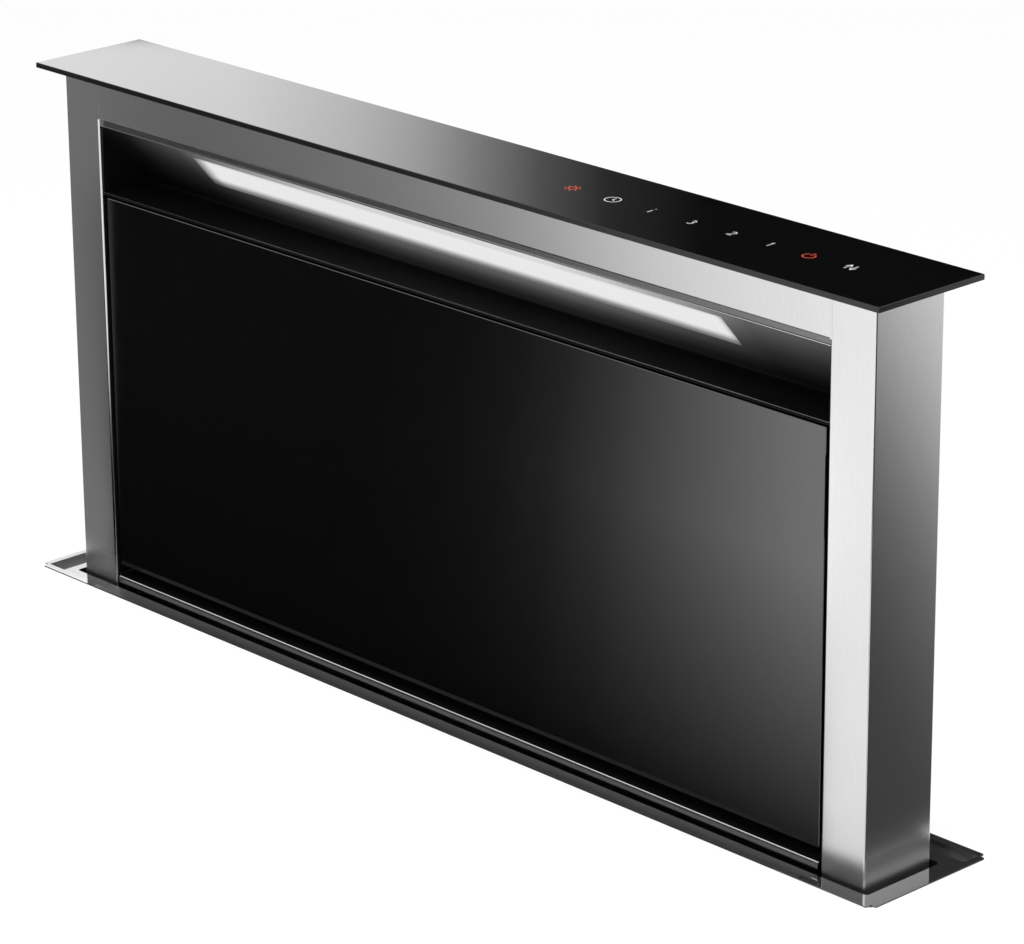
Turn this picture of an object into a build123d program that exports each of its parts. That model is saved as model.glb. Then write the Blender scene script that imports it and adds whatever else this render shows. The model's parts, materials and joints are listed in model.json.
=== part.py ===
from build123d import *
import os
from math import cos, hypot, radians, sin

os.makedirs("parts", exist_ok=True)

# A downdraft vent. Origin: worktop level, under the middle of the lid.
# +X to the right of the person who cooks, -Y towards that person, +Z up. Millimetres.
# The tower is modelled fully raised.

# ---------------------------------------------------------------- driving dimensions
sheet = 1.0                    # folded steel of the tower and the housing
bend = 1.5                     # outer radius of its folds
nut_side_count = 6                    # sides of a nut

# tower
tower_width = 848.0
tower_depth = 67.4
tower_height = 418.6           # tray floor to the underside of the foam
skirt_depth = 92.0             # what stays below the tray floor at full height
column_face = 40.0
column_return = 16.0           # the column's edge folded in beside the glass
column_back = 20.0
header_face = 31.6
header_return = 12.0           # folded back under the lid's frame
back_return = 9.0
seam = 0.3                     # hairline between header and columns
rail_height = 7.5              # bottom rail above the tray floor
rail_end_gap = 3.0
rail_bend = 2.0

# lid
lid_overhang_side = 16.0       # glass past the tower
lid_overhang_front = 15.5
lid_overhang_back = 20.3
lid_glass_thickness = 4.0
lid_pad_thickness = 0.4        # adhesive foam between glass and frame
lid_frame_thickness = 2.0
glass_chamfer = 0.4
pad_inset = 2.0                # foam back from the edge of the glass
touch_from_end = 205.0         # middle of the row of touch fields, from the right end of the lid
touch_length = 290.0
touch_breadth = 30.0
touch_clearance = 1.0
touch_board_thickness = 1.6
touch_chip = (14.0, 14.0, 2.0)
touch_chip_count = 3

# light recess
lip_setback = 3.0              # its front lip behind the header's face
lip_drop = 6.7                 # the same lip below the header
recess_depth = 48.0
recess_floor_height = 326.0    # above the tray floor
recess_hem = 2.0
recess_upstand = 4.0           # its front lip behind the header
strip_length = 556.0
strip_breadth = 33.0
strip_start = 5.0              # down the slope from the lip
strip_proud = 0.3
diffuser_thickness = 2.8
window_clearance = 0.3
led_channel_depth = 9.0
led_channel_margin = 4.0
driver_size = (150.0, 20.0, 40.0)
driver_height = 362.0          # above the tray floor
driver_round = 3.0

# front panel
glass_thickness = 4.0
glass_setback = 2.0
glass_side_gap = 4.0
glass_bottom = 17.0            # above the tray floor
glass_top_gap = 3.9            # below the light recess
carrier_inset = 28.0
carrier_thickness = 1.5
carrier_lip = 4.0
carrier_lip_thickness = 1.5
carrier_opening_margin = 60.0
pivot_above_edge = 7.0
pivot_behind_glass = 5.0
pivot_radius = 2.5
pivot_clearance = 0.05
ear_radius = 5.0
ear_thickness = 6.0
ear_from_column = 12.0
ear_strap = (40.0, 20.0)
ear_height = 15.0
pin_plate = 3.0
pin_past_ear = 2.0
catch_spread = 600.0
catch_size = (24.0, 10.0, 12.0)
catch_gap = 0.2

# filters
filter_gap = 12.0              # air space between panel and filters
filter_thickness = 9.0
filter_border = 14.0
filter_ledge = 8.0
filter_fit = 1.0
frame_web = 2.0                # the filter frame behind the filters
frame_lug = 10.0               # the filter frame behind the column's folded edge
lug_root = 2.0
lug_past_front = 4.0
frame_above_glass_edge = 15.0
frame_rim = 10.0
frame_middle = 14.0
mesh_recess = 2.0
rib_count = 9
rib_width = 2.0
latch_field_height = 64.0      # plain sheet round the latch
latch_length = 60.0
latch_height = 16.0
latch_thickness = 4.0
latch_round = 3.0
latch_travel = 6.0
latch_gap = 0.5
latch_grip = (48.0, 4.0, 3.0)
bolt_width = 20.0
bolt_reach = 3.0               # the latch's bolt in the filter frame

# tray in the worktop
tray_sheet = 1.0
tray_recess = 4.5              # flange top to tray floor
tray_past_lid_end = 8.0        # upright walls beyond the lid's edges
tray_past_lid_side = 4.2
tray_flange = 4.5
flange_corner = 1.5
slot_side_gap = 6.0
slot_front_gap = 3.9
slot_back_gap = 4.2
slot_corner = 3.0
slot_lip = 8.0

# lift
lid_rest_gap = 0.1             # foam above the tray floor when the tower is down
screw_radius = 8.0
screw_journal_radius = 5.0
screw_above_nut = 14.0
screw_chamfer = 2.0
journal_past_pulley = 3.0
running_clearance = 0.05
nut_height = 18.0
nut_radius = 13.0
nut_flange_radius = 17.0
nut_flange = 4.0
carriage_plate = 3.0
carriage_lip = 10.0
carriage_rim = 30.0            # plate around the air passage, front and back
carriage_end = 50.0
bearing_height = 14.0
bearing_radius = 17.0
bearing_spigot_radius = 11.0
bearing_spigot = 4.0
pulley_radius = 18.0
motor_pulley_radius = 12.0
pulley_width = 11.0
pulley_flange = 1.0
pulley_flange_rise = 2.0
pulley_hub_radius = 8.0
pulley_hub_height = 2.0
belt_gap = 0.3
belt_thickness = 1.6
belt_side_gap = 0.5
pulley_end_gap = 0.3
shoe_length = 25.0
shoe_pitch = 45.0
shoe_clearance = 0.5
rail_breadth = 24.0
rail_wall = 1.5
guide_bend = 2.0
rail_top_gap = 15.0
rail_column_gap = 1.0
switch_size = (6.0, 12.0, 20.0)
switch_from_rail = 5.0
switch_inset = 20.0

# housing below the worktop
wall_gap = 8.0                 # tower to housing wall
wall_flange = 8.0
end_flange = 12.0
end_return = 14.0
base_sheet = 1.5
base_lip = 10.0
base_gap = 13.0                # under the lowered tower
corner_gap = 1.0               # front and back wall short of the end walls
cover_depth = 42.0
bead_length = 620.0
bead_breadth = 16.0
bead_rise = 2.0
bead_taper = 30.0              # degrees
bead_count = 3
bead_pitch = 130.0
bead_top = 120.0
fixing_radius = 2.5
fixing_spread = 60.0
fixing_pitch = 300.0
fixing_top = 110.0
worktop_thickness = 30.0
bracket_from_end = 62.0        # middle of a bracket from the end wall
bracket_width = 30.0
bracket_sheet = 2.0
bracket_bend = 3.0
bracket_leg = 40.0
bracket_arm = 26.0
bracket_drop = 42.0
clamp_out = 15.6               # clamp screw from the wall
clamp_screw_radius = 3.0
clamp_pad_radius = 8.0
clamp_pad_height = 3.0
clamp_tail = 18.0
foot_from_end = 102.0          # middle of a foot from the end wall
foot_rod_radius = 4.0
foot_pad_radius = 22.0
foot_pad_height = 10.0
foot_chamfer = 4.0
foot_nut_radius = 8.0
foot_nut_height = 6.0
foot_nut_rise = 4.0            # nut above the pad
foot_reach = 40.0              # pad below the belt cover
foot_hole_clearance = 0.5

# lift motor
motor_x = 200.0
motor_plate = 60.0
motor_plate_round = 5.0
motor_plate_thickness = 3.0
motor_wall_gap = 3.0
gearbox_radius = 27.0
gearbox_height = 38.0
motor_radius = 22.0
motor_height = 78.0
motor_round = 3.0
motor_shaft_radius = 5.0
motor_shaft_depth = 15.0
shaft_end_gap = 1.0
shaft_hole_gap = 1.0
nose_radius = 40.0             # base plate around the motor

# blower
blower_x = -150.0
blower_drop = 250.0            # wheel axis below the worktop
wheel_radius = 90.0
wheel_length = 78.0
blade_count = 36
blade_depth = 14.0
blade_thickness = 1.2
blade_inset = 0.5              # blade tips inside the rims of the wheel
blade_lead = 8.0               # degrees from root to tip
blade_curve = 12.0
wheel_plate = 1.5
wheel_ring = 3.0
wheel_ring_past = 1.0          # ring beyond the blades, inwards and outwards
hub_radius = 11.0
hub_length = 24.0
blower_shaft_radius = 4.0
blower_shaft_reach = 20.0      # into the motor
blower_shaft_gap = 4.0
scroll_gap = 16.0              # wheel to scroll wall, beside the outlet
scroll_step = 18.0             # growth of the scroll each quarter turn
scroll_depth = 100.0
scroll_rim = 8.0
tongue_angle = 45.0
tongue_radius = 6.0
outlet_run = 40.0
inlet_radius = 68.0
inlet_sheet = 1.2
inlet_flange = 15.0
inlet_reach = 6.0              # into the wheel's eye
inlet_fit = 0.5
wheel_end_gap = 10.0
blower_motor_radius = 47.0
blower_motor_length = 42.0
blower_motor_round = 6.0
blower_flange_radius = 58.0
blower_flange = 2.0
blower_bolt_circle = 52.5
blower_bolt_radius = 2.2
blower_bolt_count = 4
motor_boss_radius = 20.0
boss_fit = 0.5

# duct outlet
collar_radius = 74.5
collar_wall = 2.0
collar_length = 84.0
collar_front_gap = 2.0
adapter_length = 50.0
socket_length = 10.0           # the adapter's straight start on the scroll
throat_round = 6.0
flap_setback = 7.0
flap_thickness = 1.5
flap_gap = 1.0
flap_pin_radius = 2.0
flap_pin_offset = 3.0
flap_pin_end_gap = 0.3

# electrical
box_x = 160.0
box_top = 110.0
box_size = (240.0, 50.0, 140.0)
box_lip = 6.0                  # the cover's rim inside the box
board_margin = 12.0
board_thickness = 1.6
board_standoff = 8.0
standoff_radius = 3.0
standoff_inset = 6.0
transformer_size = (44.0, 20.0, 36.0)
transformer_place = (-60.0, 15.0)
relay_size = (22.0, 20.0, 18.0)
relay_pitch = (36.0, 40.0)
relay_place = (20.0, 0.0)
gland_radius = 8.0
gland_bore = 4.0
gland_length = 16.0            # outside the box
gland_inside = 4.0
gland_nut_radius = 11.0
gland_nut_height = 6.0
gland_rise = 35.0              # above the underside of the box

# ---------------------------------------------------------------- derived levels and places
lid_width = tower_width + 2 * lid_overhang_side
lid_depth = tower_depth + lid_overhang_front + lid_overhang_back
tray_length = lid_width + 2 * tray_past_lid_end
tray_breadth = lid_depth + 2 * tray_past_lid_side
touch_centre = lid_width / 2 - touch_from_end

floor_z = tray_sheet - tray_recess
tower_front = -lid_depth / 2 + lid_overhang_front
tower_back = tower_front + tower_depth
tower_middle = (tower_front + tower_back) / 2
half_tower = tower_width / 2
opening_x = half_tower - column_face                 # inner faces of the columns
pad_z = floor_z + tower_height
glass_z = pad_z + lid_pad_thickness
frame_z = pad_z - lid_frame_thickness
lift_stroke = tower_height - lid_rest_gap
skirt_z = floor_z - skirt_depth
carriage_z = skirt_z - carriage_plate
screw_x = half_tower - column_face / 2

tray_under = floor_z - tray_sheet
wall_x = half_tower + wall_gap
wall_front = tower_front - wall_gap
wall_back = tower_back + wall_gap
bracket_x = wall_x - bracket_from_end
foot_x = wall_x - foot_from_end
base_top = carriage_z - lift_stroke - base_gap
base_under = base_top - base_sheet
bearing_under = base_under - bearing_height
pulley_top = bearing_under - pulley_end_gap - pulley_hub_height
pulley_under = pulley_top - pulley_width - 2 * pulley_flange
motor_y = wall_front - 2 * sheet - motor_wall_gap - motor_plate / 2
cover_under = base_under - cover_depth

header_z = frame_z - header_face
lip_y = tower_front + lip_setback
lip_z = header_z - lip_drop
recess_floor = floor_z + recess_floor_height
crease_y = tower_front + recess_depth
slope = hypot(crease_y - lip_y, lip_z - recess_floor)
slope_run = (crease_y - lip_y) / slope
slope_fall = (lip_z - recess_floor) / slope
ceiling = Plane(origin=(0, lip_y, lip_z), x_dir=(1, 0, 0), z_dir=(0, -slope_fall, -slope_run))

glass_x = opening_x - glass_side_gap
glass_front = tower_front + glass_setback
glass_back = glass_front + glass_thickness
glass_low = floor_z + glass_bottom
glass_high = recess_floor - glass_top_gap
pivot_y = glass_back + pivot_behind_glass
pivot_z = glass_low + pivot_above_edge
filter_front = glass_back + carrier_lip + filter_gap
return_back = tower_front + column_return
frame_low = glass_low + frame_above_glass_edge


# ---------------------------------------------------------------- helpers
def block(x0, x1, y0, y1, mode=Mode.ADD):
    """A rectangle in the active sketch, from its low corner to its high corner."""
    with Locations(((x0 + x1) / 2, (y0 + y1) / 2)):
        Rectangle(x1 - x0, y1 - y0, mode=mode)


def folded(points, side, thickness=sheet, radius=bend):
    """The section of a folded sheet: one face runs through the points with rounded folds."""
    with BuildLine(mode=Mode.PRIVATE) as outline:
        run = FilletPolyline(*points, radius=radius)
        offset(run, amount=thickness, side=side, kind=Kind.INTERSECTION)
    make_face(outline.edges())


SIDES = (("left", -1), ("right", 1))


# ---------------------------------------------------------------- lid
with BuildPart() as lid_glass:
    with BuildSketch(Plane.XY.offset(glass_z)):
        Rectangle(lid_width, lid_depth)
    extrude(amount=lid_glass_thickness)
    chamfer(lid_glass.edges().group_by(Axis.Z)[-1], length=glass_chamfer)
lid_glass.part.label = "lid_glass"
export_step(lid_glass.part, "parts/lid_glass.step")

with BuildPart() as lid_pad:
    with BuildSketch(Plane.XY.offset(pad_z)):
        Rectangle(lid_width - 2 * pad_inset, lid_depth - 2 * pad_inset)
        with Locations((touch_centre, 0)):
            Rectangle(
                touch_length + 2 * touch_clearance,
                touch_breadth + 2 * touch_clearance,
                mode=Mode.SUBTRACT,
            )
    extrude(amount=lid_pad_thickness)
lid_pad.part.label = "lid_pad"
export_step(lid_pad.part, "parts/lid_pad.step")

with BuildPart() as lid_frame:
    with BuildSketch(Plane.XY.offset(frame_z)):
        with Locations((0, tower_middle)):
            Rectangle(tower_width, tower_depth)
        with Locations((touch_centre, 0)):
            Rectangle(
                touch_length + 2 * touch_clearance,
                touch_breadth + 2 * touch_clearance,
                mode=Mode.SUBTRACT,
            )
    extrude(amount=lid_frame_thickness)
lid_frame.part.label = "lid_frame"
export_step(lid_frame.part, "parts/lid_frame.step")

with BuildPart() as touch_board:
    with BuildSketch(Plane.XY.offset(glass_z - touch_board_thickness)):
        with Locations((touch_centre, 0)):
            Rectangle(touch_length, touch_breadth)
    extrude(amount=touch_board_thickness)
    with BuildSketch(Plane.XY.offset(glass_z - touch_board_thickness)):
        with Locations((touch_centre, 0)):
            with GridLocations(touch_length / touch_chip_count, 0, touch_chip_count, 1):
                Rectangle(touch_chip[0], touch_chip[1])
    extrude(amount=-touch_chip[2])
touch_board.part.label = "touch_board"
export_step(touch_board.part, "parts/touch_board.step")


# ---------------------------------------------------------------- tower shell
for name, s in SIDES:
    with BuildPart() as column:
        with BuildSketch(Plane.XY.offset(skirt_z)):
            folded(
                [
                    (s * opening_x, return_back),
                    (s * opening_x, tower_front),
                    (s * half_tower, tower_front),
                    (s * half_tower, tower_back),
                    (s * (half_tower - column_back), tower_back),
                ],
                Side.LEFT if s > 0 else Side.RIGHT,
            )
        extrude(amount=frame_z - skirt_z)
    column.part.label = f"{name}_column"
    export_step(column.part, f"parts/{name}_column.step")

with BuildPart() as header_panel:
    with BuildSketch(Plane.YZ):
        folded(
            [
                (tower_front + header_return, frame_z),
                (tower_front, frame_z),
                (tower_front, header_z),
                (lip_y, header_z),
            ],
            Side.LEFT,
        )
    extrude(amount=opening_x - seam, both=True)
header_panel.part.label = "header_panel"
export_step(header_panel.part, "parts/header_panel.step")

with BuildPart() as back_panel:
    panel_x = half_tower - column_back - seam
    with BuildSketch(Plane.XY.offset(skirt_z)):
        folded(
            [
                (-panel_x, tower_back - back_return),
                (-panel_x, tower_back),
                (panel_x, tower_back),
                (panel_x, tower_back - back_return),
            ],
            Side.RIGHT,
        )
    extrude(amount=frame_z - skirt_z)
back_panel.part.label = "back_panel"
export_step(back_panel.part, "parts/back_panel.step")

with BuildPart() as bottom_rail:
    with BuildSketch(Plane.YZ):
        folded(
            [
                (filter_front - sheet, frame_low + frame_rim / 2),
                (filter_front - sheet, floor_z + rail_height),
                (tower_front, floor_z + rail_height),
                (tower_front, skirt_z),
            ],
            Side.LEFT,
            radius=rail_bend,
        )
    extrude(amount=opening_x - rail_end_gap, both=True)
bottom_rail.part.label = "bottom_rail"
export_step(bottom_rail.part, "parts/bottom_rail.step")


# ---------------------------------------------------------------- light recess
with BuildPart() as light_housing:
    with BuildSketch(Plane.YZ):
        folded(
            [
                (lip_y, header_z + recess_upstand),
                (lip_y, lip_z),
                (crease_y, recess_floor),
                (glass_front, recess_floor),
                (glass_front, recess_floor - recess_hem),
            ],
            Side.LEFT,
        )
    extrude(amount=opening_x, both=True)
    with BuildSketch(Plane.YZ.offset(-opening_x)) as end_cap:
        with BuildLine():
            Polyline(
                (lip_y, header_z + recess_upstand),
                (lip_y, lip_z),
                (glass_front, recess_floor - sheet),
                (crease_y + sheet, recess_floor - sheet),
                (crease_y + sheet, recess_floor + sheet),
                (lip_y + sheet, lip_z + 2 * sheet),
                (lip_y + sheet, header_z + recess_upstand),
                close=True,
            )
        make_face()
    extrude(amount=sheet)
    extrude(end_cap.sketch.faces()[0].moved(Location((2 * opening_x - sheet, 0, 0))), amount=sheet)
    with BuildSketch(ceiling):
        with Locations((0, -strip_start - strip_breadth / 2)):
            Rectangle(strip_length + 2 * window_clearance, strip_breadth + 2 * window_clearance)
    extrude(amount=2 * sheet, both=True, mode=Mode.SUBTRACT)
light_housing.part.label = "light_housing"
export_step(light_housing.part, "parts/light_housing.step")

with BuildPart() as light_diffuser:
    with BuildSketch(ceiling.offset(strip_proud)):
        with Locations((0, -strip_start - strip_breadth / 2)):
            Rectangle(strip_length, strip_breadth)
    extrude(amount=-diffuser_thickness)
light_diffuser.part.label = "light_diffuser"
export_step(light_diffuser.part, "parts/light_diffuser.step")

with BuildPart() as led_channel:
    channel_breadth = strip_breadth + 2 * led_channel_margin
    channel_length = strip_length + 2 * led_channel_margin
    with BuildSketch(ceiling.offset(-sheet)):
        with Locations((0, -strip_start - strip_breadth / 2)):
            Rectangle(channel_length, channel_breadth)
    extrude(amount=-led_channel_depth)
    offset(amount=-sheet, openings=led_channel.faces().sort_by(Axis(ceiling.origin, ceiling.z_dir))[-1])
led_channel.part.label = "led_channel"
export_step(led_channel.part, "parts/led_channel.step")

with BuildPart() as led_driver:
    with BuildSketch(Plane.XY.offset(floor_z + driver_height)):
        with Locations((0, tower_back - sheet - driver_size[1] / 2)):
            Rectangle(driver_size[0], driver_size[1])
    extrude(amount=driver_size[2])
    fillet(led_driver.edges().filter_by(Axis.X).group_by(Axis.Y)[0], radius=driver_round)
led_driver.part.label = "led_driver"
export_step(led_driver.part, "parts/led_driver.step")


# ---------------------------------------------------------------- front panel
with BuildPart() as front_glass:
    with BuildSketch(Plane.XZ.offset(-glass_front)):
        block(-glass_x, glass_x, glass_low, glass_high)
    extrude(amount=-glass_thickness)
    chamfer(front_glass.faces().sort_by(Axis.Y)[0].edges(), length=glass_chamfer)
front_glass.part.label = "front_glass"
export_step(front_glass.part, "parts/front_glass.step")

with BuildPart() as glass_carrier:
    pan_x = glass_x - carrier_inset
    pan_low = glass_low + carrier_inset
    pan_high = glass_high - carrier_inset
    ear_outer = opening_x - ear_from_column
    with BuildSketch(Plane.XZ.offset(-glass_back)):
        block(-pan_x, pan_x, pan_low, pan_high)
        block(
            -pan_x + carrier_opening_margin,
            pan_x - carrier_opening_margin,
            pan_low + carrier_opening_margin,
            pan_high - carrier_opening_margin,
            mode=Mode.SUBTRACT,
        )
        for s in (-1, 1):
            with Locations((s * (ear_outer - ear_strap[0] / 2), pan_low + ear_radius)):
                Rectangle(*ear_strap)
            with Locations((s * catch_spread / 2, (pan_high + glass_high) / 2)):
                Rectangle(catch_size[0], carrier_inset)
    extrude(amount=-carrier_thickness)
    with BuildSketch(Plane.XZ.offset(-glass_back)):
        block(-pan_x, pan_x, pan_low, pan_high)
        block(
            -pan_x + carrier_lip_thickness,
            pan_x - carrier_lip_thickness,
            pan_low + carrier_lip_thickness,
            pan_high - carrier_lip_thickness,
            mode=Mode.SUBTRACT,
        )
    extrude(amount=-carrier_lip)
    for s in (-1, 1):
        with BuildSketch(Plane.YZ.offset(s * (ear_outer - ear_thickness / 2))):
            with Locations((pivot_y, pivot_z)):
                Circle(ear_radius)
            block(glass_back, pivot_y, pivot_z, pan_low + ear_height)
            block(pivot_y, pivot_y + ear_radius, pivot_z, pivot_z + ear_radius)
            with Locations((pivot_y, pivot_z)):
                Circle(pivot_radius + pivot_clearance, mode=Mode.SUBTRACT)
        extrude(amount=ear_thickness / 2, both=True)
glass_carrier.part.label = "glass_carrier"
export_step(glass_carrier.part, "parts/glass_carrier.step")

with BuildPart() as hinge_pins:
    for s in (-1, 1):
        with BuildSketch(Plane.YZ.offset(s * opening_x)):
            with Locations((pivot_y, pivot_z)):
                Circle(pivot_radius)
        extrude(amount=-s * (ear_from_column + ear_thickness + pin_past_ear))
        with BuildSketch(Plane.YZ.offset(s * opening_x)):
            with Locations((pivot_y, pivot_z)):
                Circle(2 * pivot_radius)
        extrude(amount=-s * pin_plate)
hinge_pins.part.label = "hinge_pins"
export_step(hinge_pins.part, "parts/hinge_pins.step")

with BuildPart() as panel_catches:
    with BuildSketch(Plane.XY.offset(recess_floor - sheet)):
        catch_y = glass_back + carrier_thickness + catch_gap + catch_size[1] / 2
        with Locations((0, catch_y)):
            with GridLocations(catch_spread, 0, 2, 1):
                Rectangle(catch_size[0], catch_size[1])
    extrude(amount=-catch_size[2])
panel_catches.part.label = "panel_catches"
export_step(panel_catches.part, "parts/panel_catches.step")


# ---------------------------------------------------------------- filters
frame_high = recess_floor - sheet - recess_hem
pocket_width = opening_x - frame_rim - frame_middle / 2
pocket_height = frame_high - frame_low - 2 * frame_rim
pocket_z = (frame_high + frame_low) / 2
pocket_centre = (opening_x - frame_rim + frame_middle / 2) / 2
pocket_top = pocket_z + pocket_height / 2
latch_top = pocket_top - filter_fit - latch_travel
latch_z = latch_top - latch_height / 2

with BuildPart() as filter_frame:
    with BuildSketch(Plane.XZ.offset(-filter_front)):
        block(-opening_x, opening_x, frame_low, frame_high)
    extrude(amount=-(filter_thickness + frame_web))
    for s in (-1, 1):
        with BuildSketch(Plane.XZ.offset(-return_back)):
            with Locations((s * (opening_x + (frame_lug - lug_root) / 2), pocket_z)):
                Rectangle(frame_lug + lug_root, frame_high - frame_low)
        extrude(amount=-(filter_front - return_back + lug_past_front))
        with BuildSketch(Plane.XZ.offset(-filter_front)):
            with Locations((s * pocket_centre, pocket_z)):
                Rectangle(pocket_width, pocket_height)
        extrude(amount=-filter_thickness, mode=Mode.SUBTRACT)
        with BuildSketch(Plane.XZ.offset(-filter_front)):
            with Locations((s * pocket_centre, pocket_z)):
                Rectangle(pocket_width - 2 * filter_ledge, pocket_height - 2 * filter_ledge)
        extrude(amount=-2 * filter_thickness, mode=Mode.SUBTRACT)
        with BuildSketch(Plane.XZ.offset(-filter_front)):
            with Locations((s * pocket_centre, pocket_top)):
                Rectangle(bolt_width + 2 * latch_gap, 2 * (bolt_reach + latch_gap))
        extrude(amount=-latch_thickness, mode=Mode.SUBTRACT)
filter_frame.part.label = "filter_frame"
export_step(filter_frame.part, "parts/filter_frame.step")

for name, s in SIDES:
    with BuildPart() as grease_filter:
        with BuildSketch(Plane.XZ.offset(-filter_front)):
            with Locations((s * pocket_centre, pocket_z)):
                Rectangle(pocket_width - 2 * filter_fit, pocket_height - 2 * filter_fit)
        extrude(amount=-filter_thickness)
        mesh_width = pocket_width - 2 * filter_fit - 2 * filter_border
        mesh_height = pocket_height - 2 * filter_fit - 2 * filter_border
        with BuildSketch(Plane.XZ.offset(-filter_front)):
            with Locations((s * pocket_centre, pocket_z)):
                Rectangle(mesh_width, mesh_height)
                with GridLocations(mesh_width / rib_count, 0, rib_count, 1):
                    Rectangle(rib_width, mesh_height, mode=Mode.SUBTRACT)
            with Locations((s * pocket_centre, latch_z)):
                Rectangle(latch_length + filter_border, latch_field_height, mode=Mode.SUBTRACT)
        extrude(amount=-mesh_recess, mode=Mode.SUBTRACT)
        groove_low = latch_z - latch_height / 2 - latch_travel - latch_gap
        groove_half = latch_length / 2 + latch_gap
        bolt_half = bolt_width / 2 + latch_gap
        with BuildSketch(Plane.XZ.offset(-filter_front)):
            with Locations((s * pocket_centre, 0)):
                block(-groove_half, groove_half, groove_low, latch_top + latch_gap)
                block(-bolt_half, bolt_half, latch_z, pocket_top)
        extrude(amount=-latch_thickness, mode=Mode.SUBTRACT)
    grease_filter.part.label = f"grease_filter_{name}"
    export_step(grease_filter.part, f"parts/grease_filter_{name}.step")

    with BuildPart() as filter_latch:
        with BuildSketch(Plane.XZ.offset(-filter_front)):
            with Locations((s * pocket_centre, latch_z)):
                RectangleRounded(latch_length, latch_height, latch_round)
            with Locations((s * pocket_centre, 0)):
                block(-bolt_width / 2, bolt_width / 2, latch_z, pocket_top + bolt_reach)
        extrude(amount=latch_gap - latch_thickness)
        with BuildSketch(Plane.XZ.offset(-filter_front)):
            with Locations((s * pocket_centre, latch_z)):
                RectangleRounded(latch_grip[0], latch_grip[1], latch_grip[1] / 3)
        extrude(amount=latch_grip[2])
    filter_latch.part.label = f"filter_latch_{name}"
    export_step(filter_latch.part, f"parts/filter_latch_{name}.step")


# ---------------------------------------------------------------- foot of the tower
with BuildPart() as carriage:
    with BuildSketch(Plane.XY.offset(carriage_z)):
        with Locations((0, tower_middle)):
            Rectangle(tower_width, tower_depth)
            Rectangle(
                tower_width - 2 * carriage_end,
                tower_depth - carriage_rim,
                mode=Mode.SUBTRACT,
            )
        with Locations((-screw_x, tower_middle), (screw_x, tower_middle)):
            Circle(nut_radius + running_clearance, mode=Mode.SUBTRACT)
    extrude(amount=carriage_plate)
    with BuildSketch(Plane.XY.offset(carriage_z)):
        with Locations((0, tower_middle)):
            Rectangle(
                tower_width - 2 * carriage_end + 2 * rail_wall,
                tower_depth - carriage_rim + 2 * rail_wall,
            )
            Rectangle(
                tower_width - 2 * carriage_end,
                tower_depth - carriage_rim,
                mode=Mode.SUBTRACT,
            )
    extrude(amount=carriage_plate + carriage_lip)
carriage.part.label = "carriage"
export_step(carriage.part, "parts/carriage.step")

with BuildPart() as lift_nuts:
    with BuildSketch(Plane.XY.offset(skirt_z)):
        with Locations((-screw_x, tower_middle), (screw_x, tower_middle)):
            Circle(nut_flange_radius)
    extrude(amount=nut_flange)
    with BuildSketch(Plane.XY.offset(carriage_z)):
        with Locations((-screw_x, tower_middle), (screw_x, tower_middle)):
            Circle(nut_radius)
    extrude(amount=carriage_plate + nut_height)
    with BuildSketch(Plane.XY.offset(carriage_z)):
        with Locations((-screw_x, tower_middle), (screw_x, tower_middle)):
            Circle(screw_radius + running_clearance)
    extrude(amount=2 * nut_height, mode=Mode.SUBTRACT)
lift_nuts.part.label = "lift_nuts"
export_step(lift_nuts.part, "parts/lift_nuts.step")

with BuildPart() as guide_shoes:
    shoe_x = wall_x - rail_wall - shoe_clearance
    shoe_half = rail_breadth / 2 - rail_wall - shoe_clearance
    for level in (carriage_z, carriage_z + shoe_pitch):
        with BuildSketch(Plane.XY.offset(level)):
            for s in (-1, 1):
                block(
                    min(s * half_tower, s * shoe_x),
                    max(s * half_tower, s * shoe_x),
                    tower_middle - shoe_half,
                    tower_middle + shoe_half,
                )
        extrude(amount=shoe_length)
guide_shoes.part.label = "guide_shoes"
export_step(guide_shoes.part, "parts/guide_shoes.step")


# ---------------------------------------------------------------- tray
with BuildPart() as worktop_tray:
    with BuildSketch(Plane.XY.offset(tray_under)):
        Rectangle(tray_length, tray_breadth)
    extrude(amount=tray_recess + tray_sheet)
    with BuildSketch() as rim:
        Rectangle(tray_length + 2 * tray_flange, tray_breadth)
        Rectangle(tray_length, tray_breadth + 2 * tray_flange)
        outer = rim.vertices().filter_by(
            lambda v: abs(v.X) > tray_length / 2 + sheet or abs(v.Y) > tray_breadth / 2 + sheet
        )
        fillet(outer, radius=flange_corner)
    extrude(amount=tray_sheet)
    with BuildSketch(Plane.XY.offset(floor_z)):
        Rectangle(tray_length - 2 * tray_sheet, tray_breadth - 2 * tray_sheet)
    extrude(amount=tray_recess, mode=Mode.SUBTRACT)
    slot_x = half_tower + slot_side_gap
    slot_length = tower_depth + slot_front_gap + slot_back_gap
    slot_y = tower_middle + (slot_back_gap - slot_front_gap) / 2
    with BuildSketch(Plane.XY.offset(floor_z)):
        with Locations((0, slot_y)):
            RectangleRounded(
                2 * slot_x + 2 * tray_sheet, slot_length + 2 * tray_sheet, slot_corner + tray_sheet
            )
    extrude(amount=-tray_sheet - slot_lip)
    with BuildSketch(Plane.XY.offset(floor_z)):
        with Locations((0, slot_y)):
            RectangleRounded(2 * slot_x, slot_length, slot_corner)
    extrude(amount=-tray_sheet - slot_lip, mode=Mode.SUBTRACT)
worktop_tray.part.label = "worktop_tray"
export_step(worktop_tray.part, "parts/worktop_tray.step")


# ---------------------------------------------------------------- housing
hole_radius = inlet_radius + inlet_sheet + inlet_fit
blower_z = -blower_drop

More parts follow.
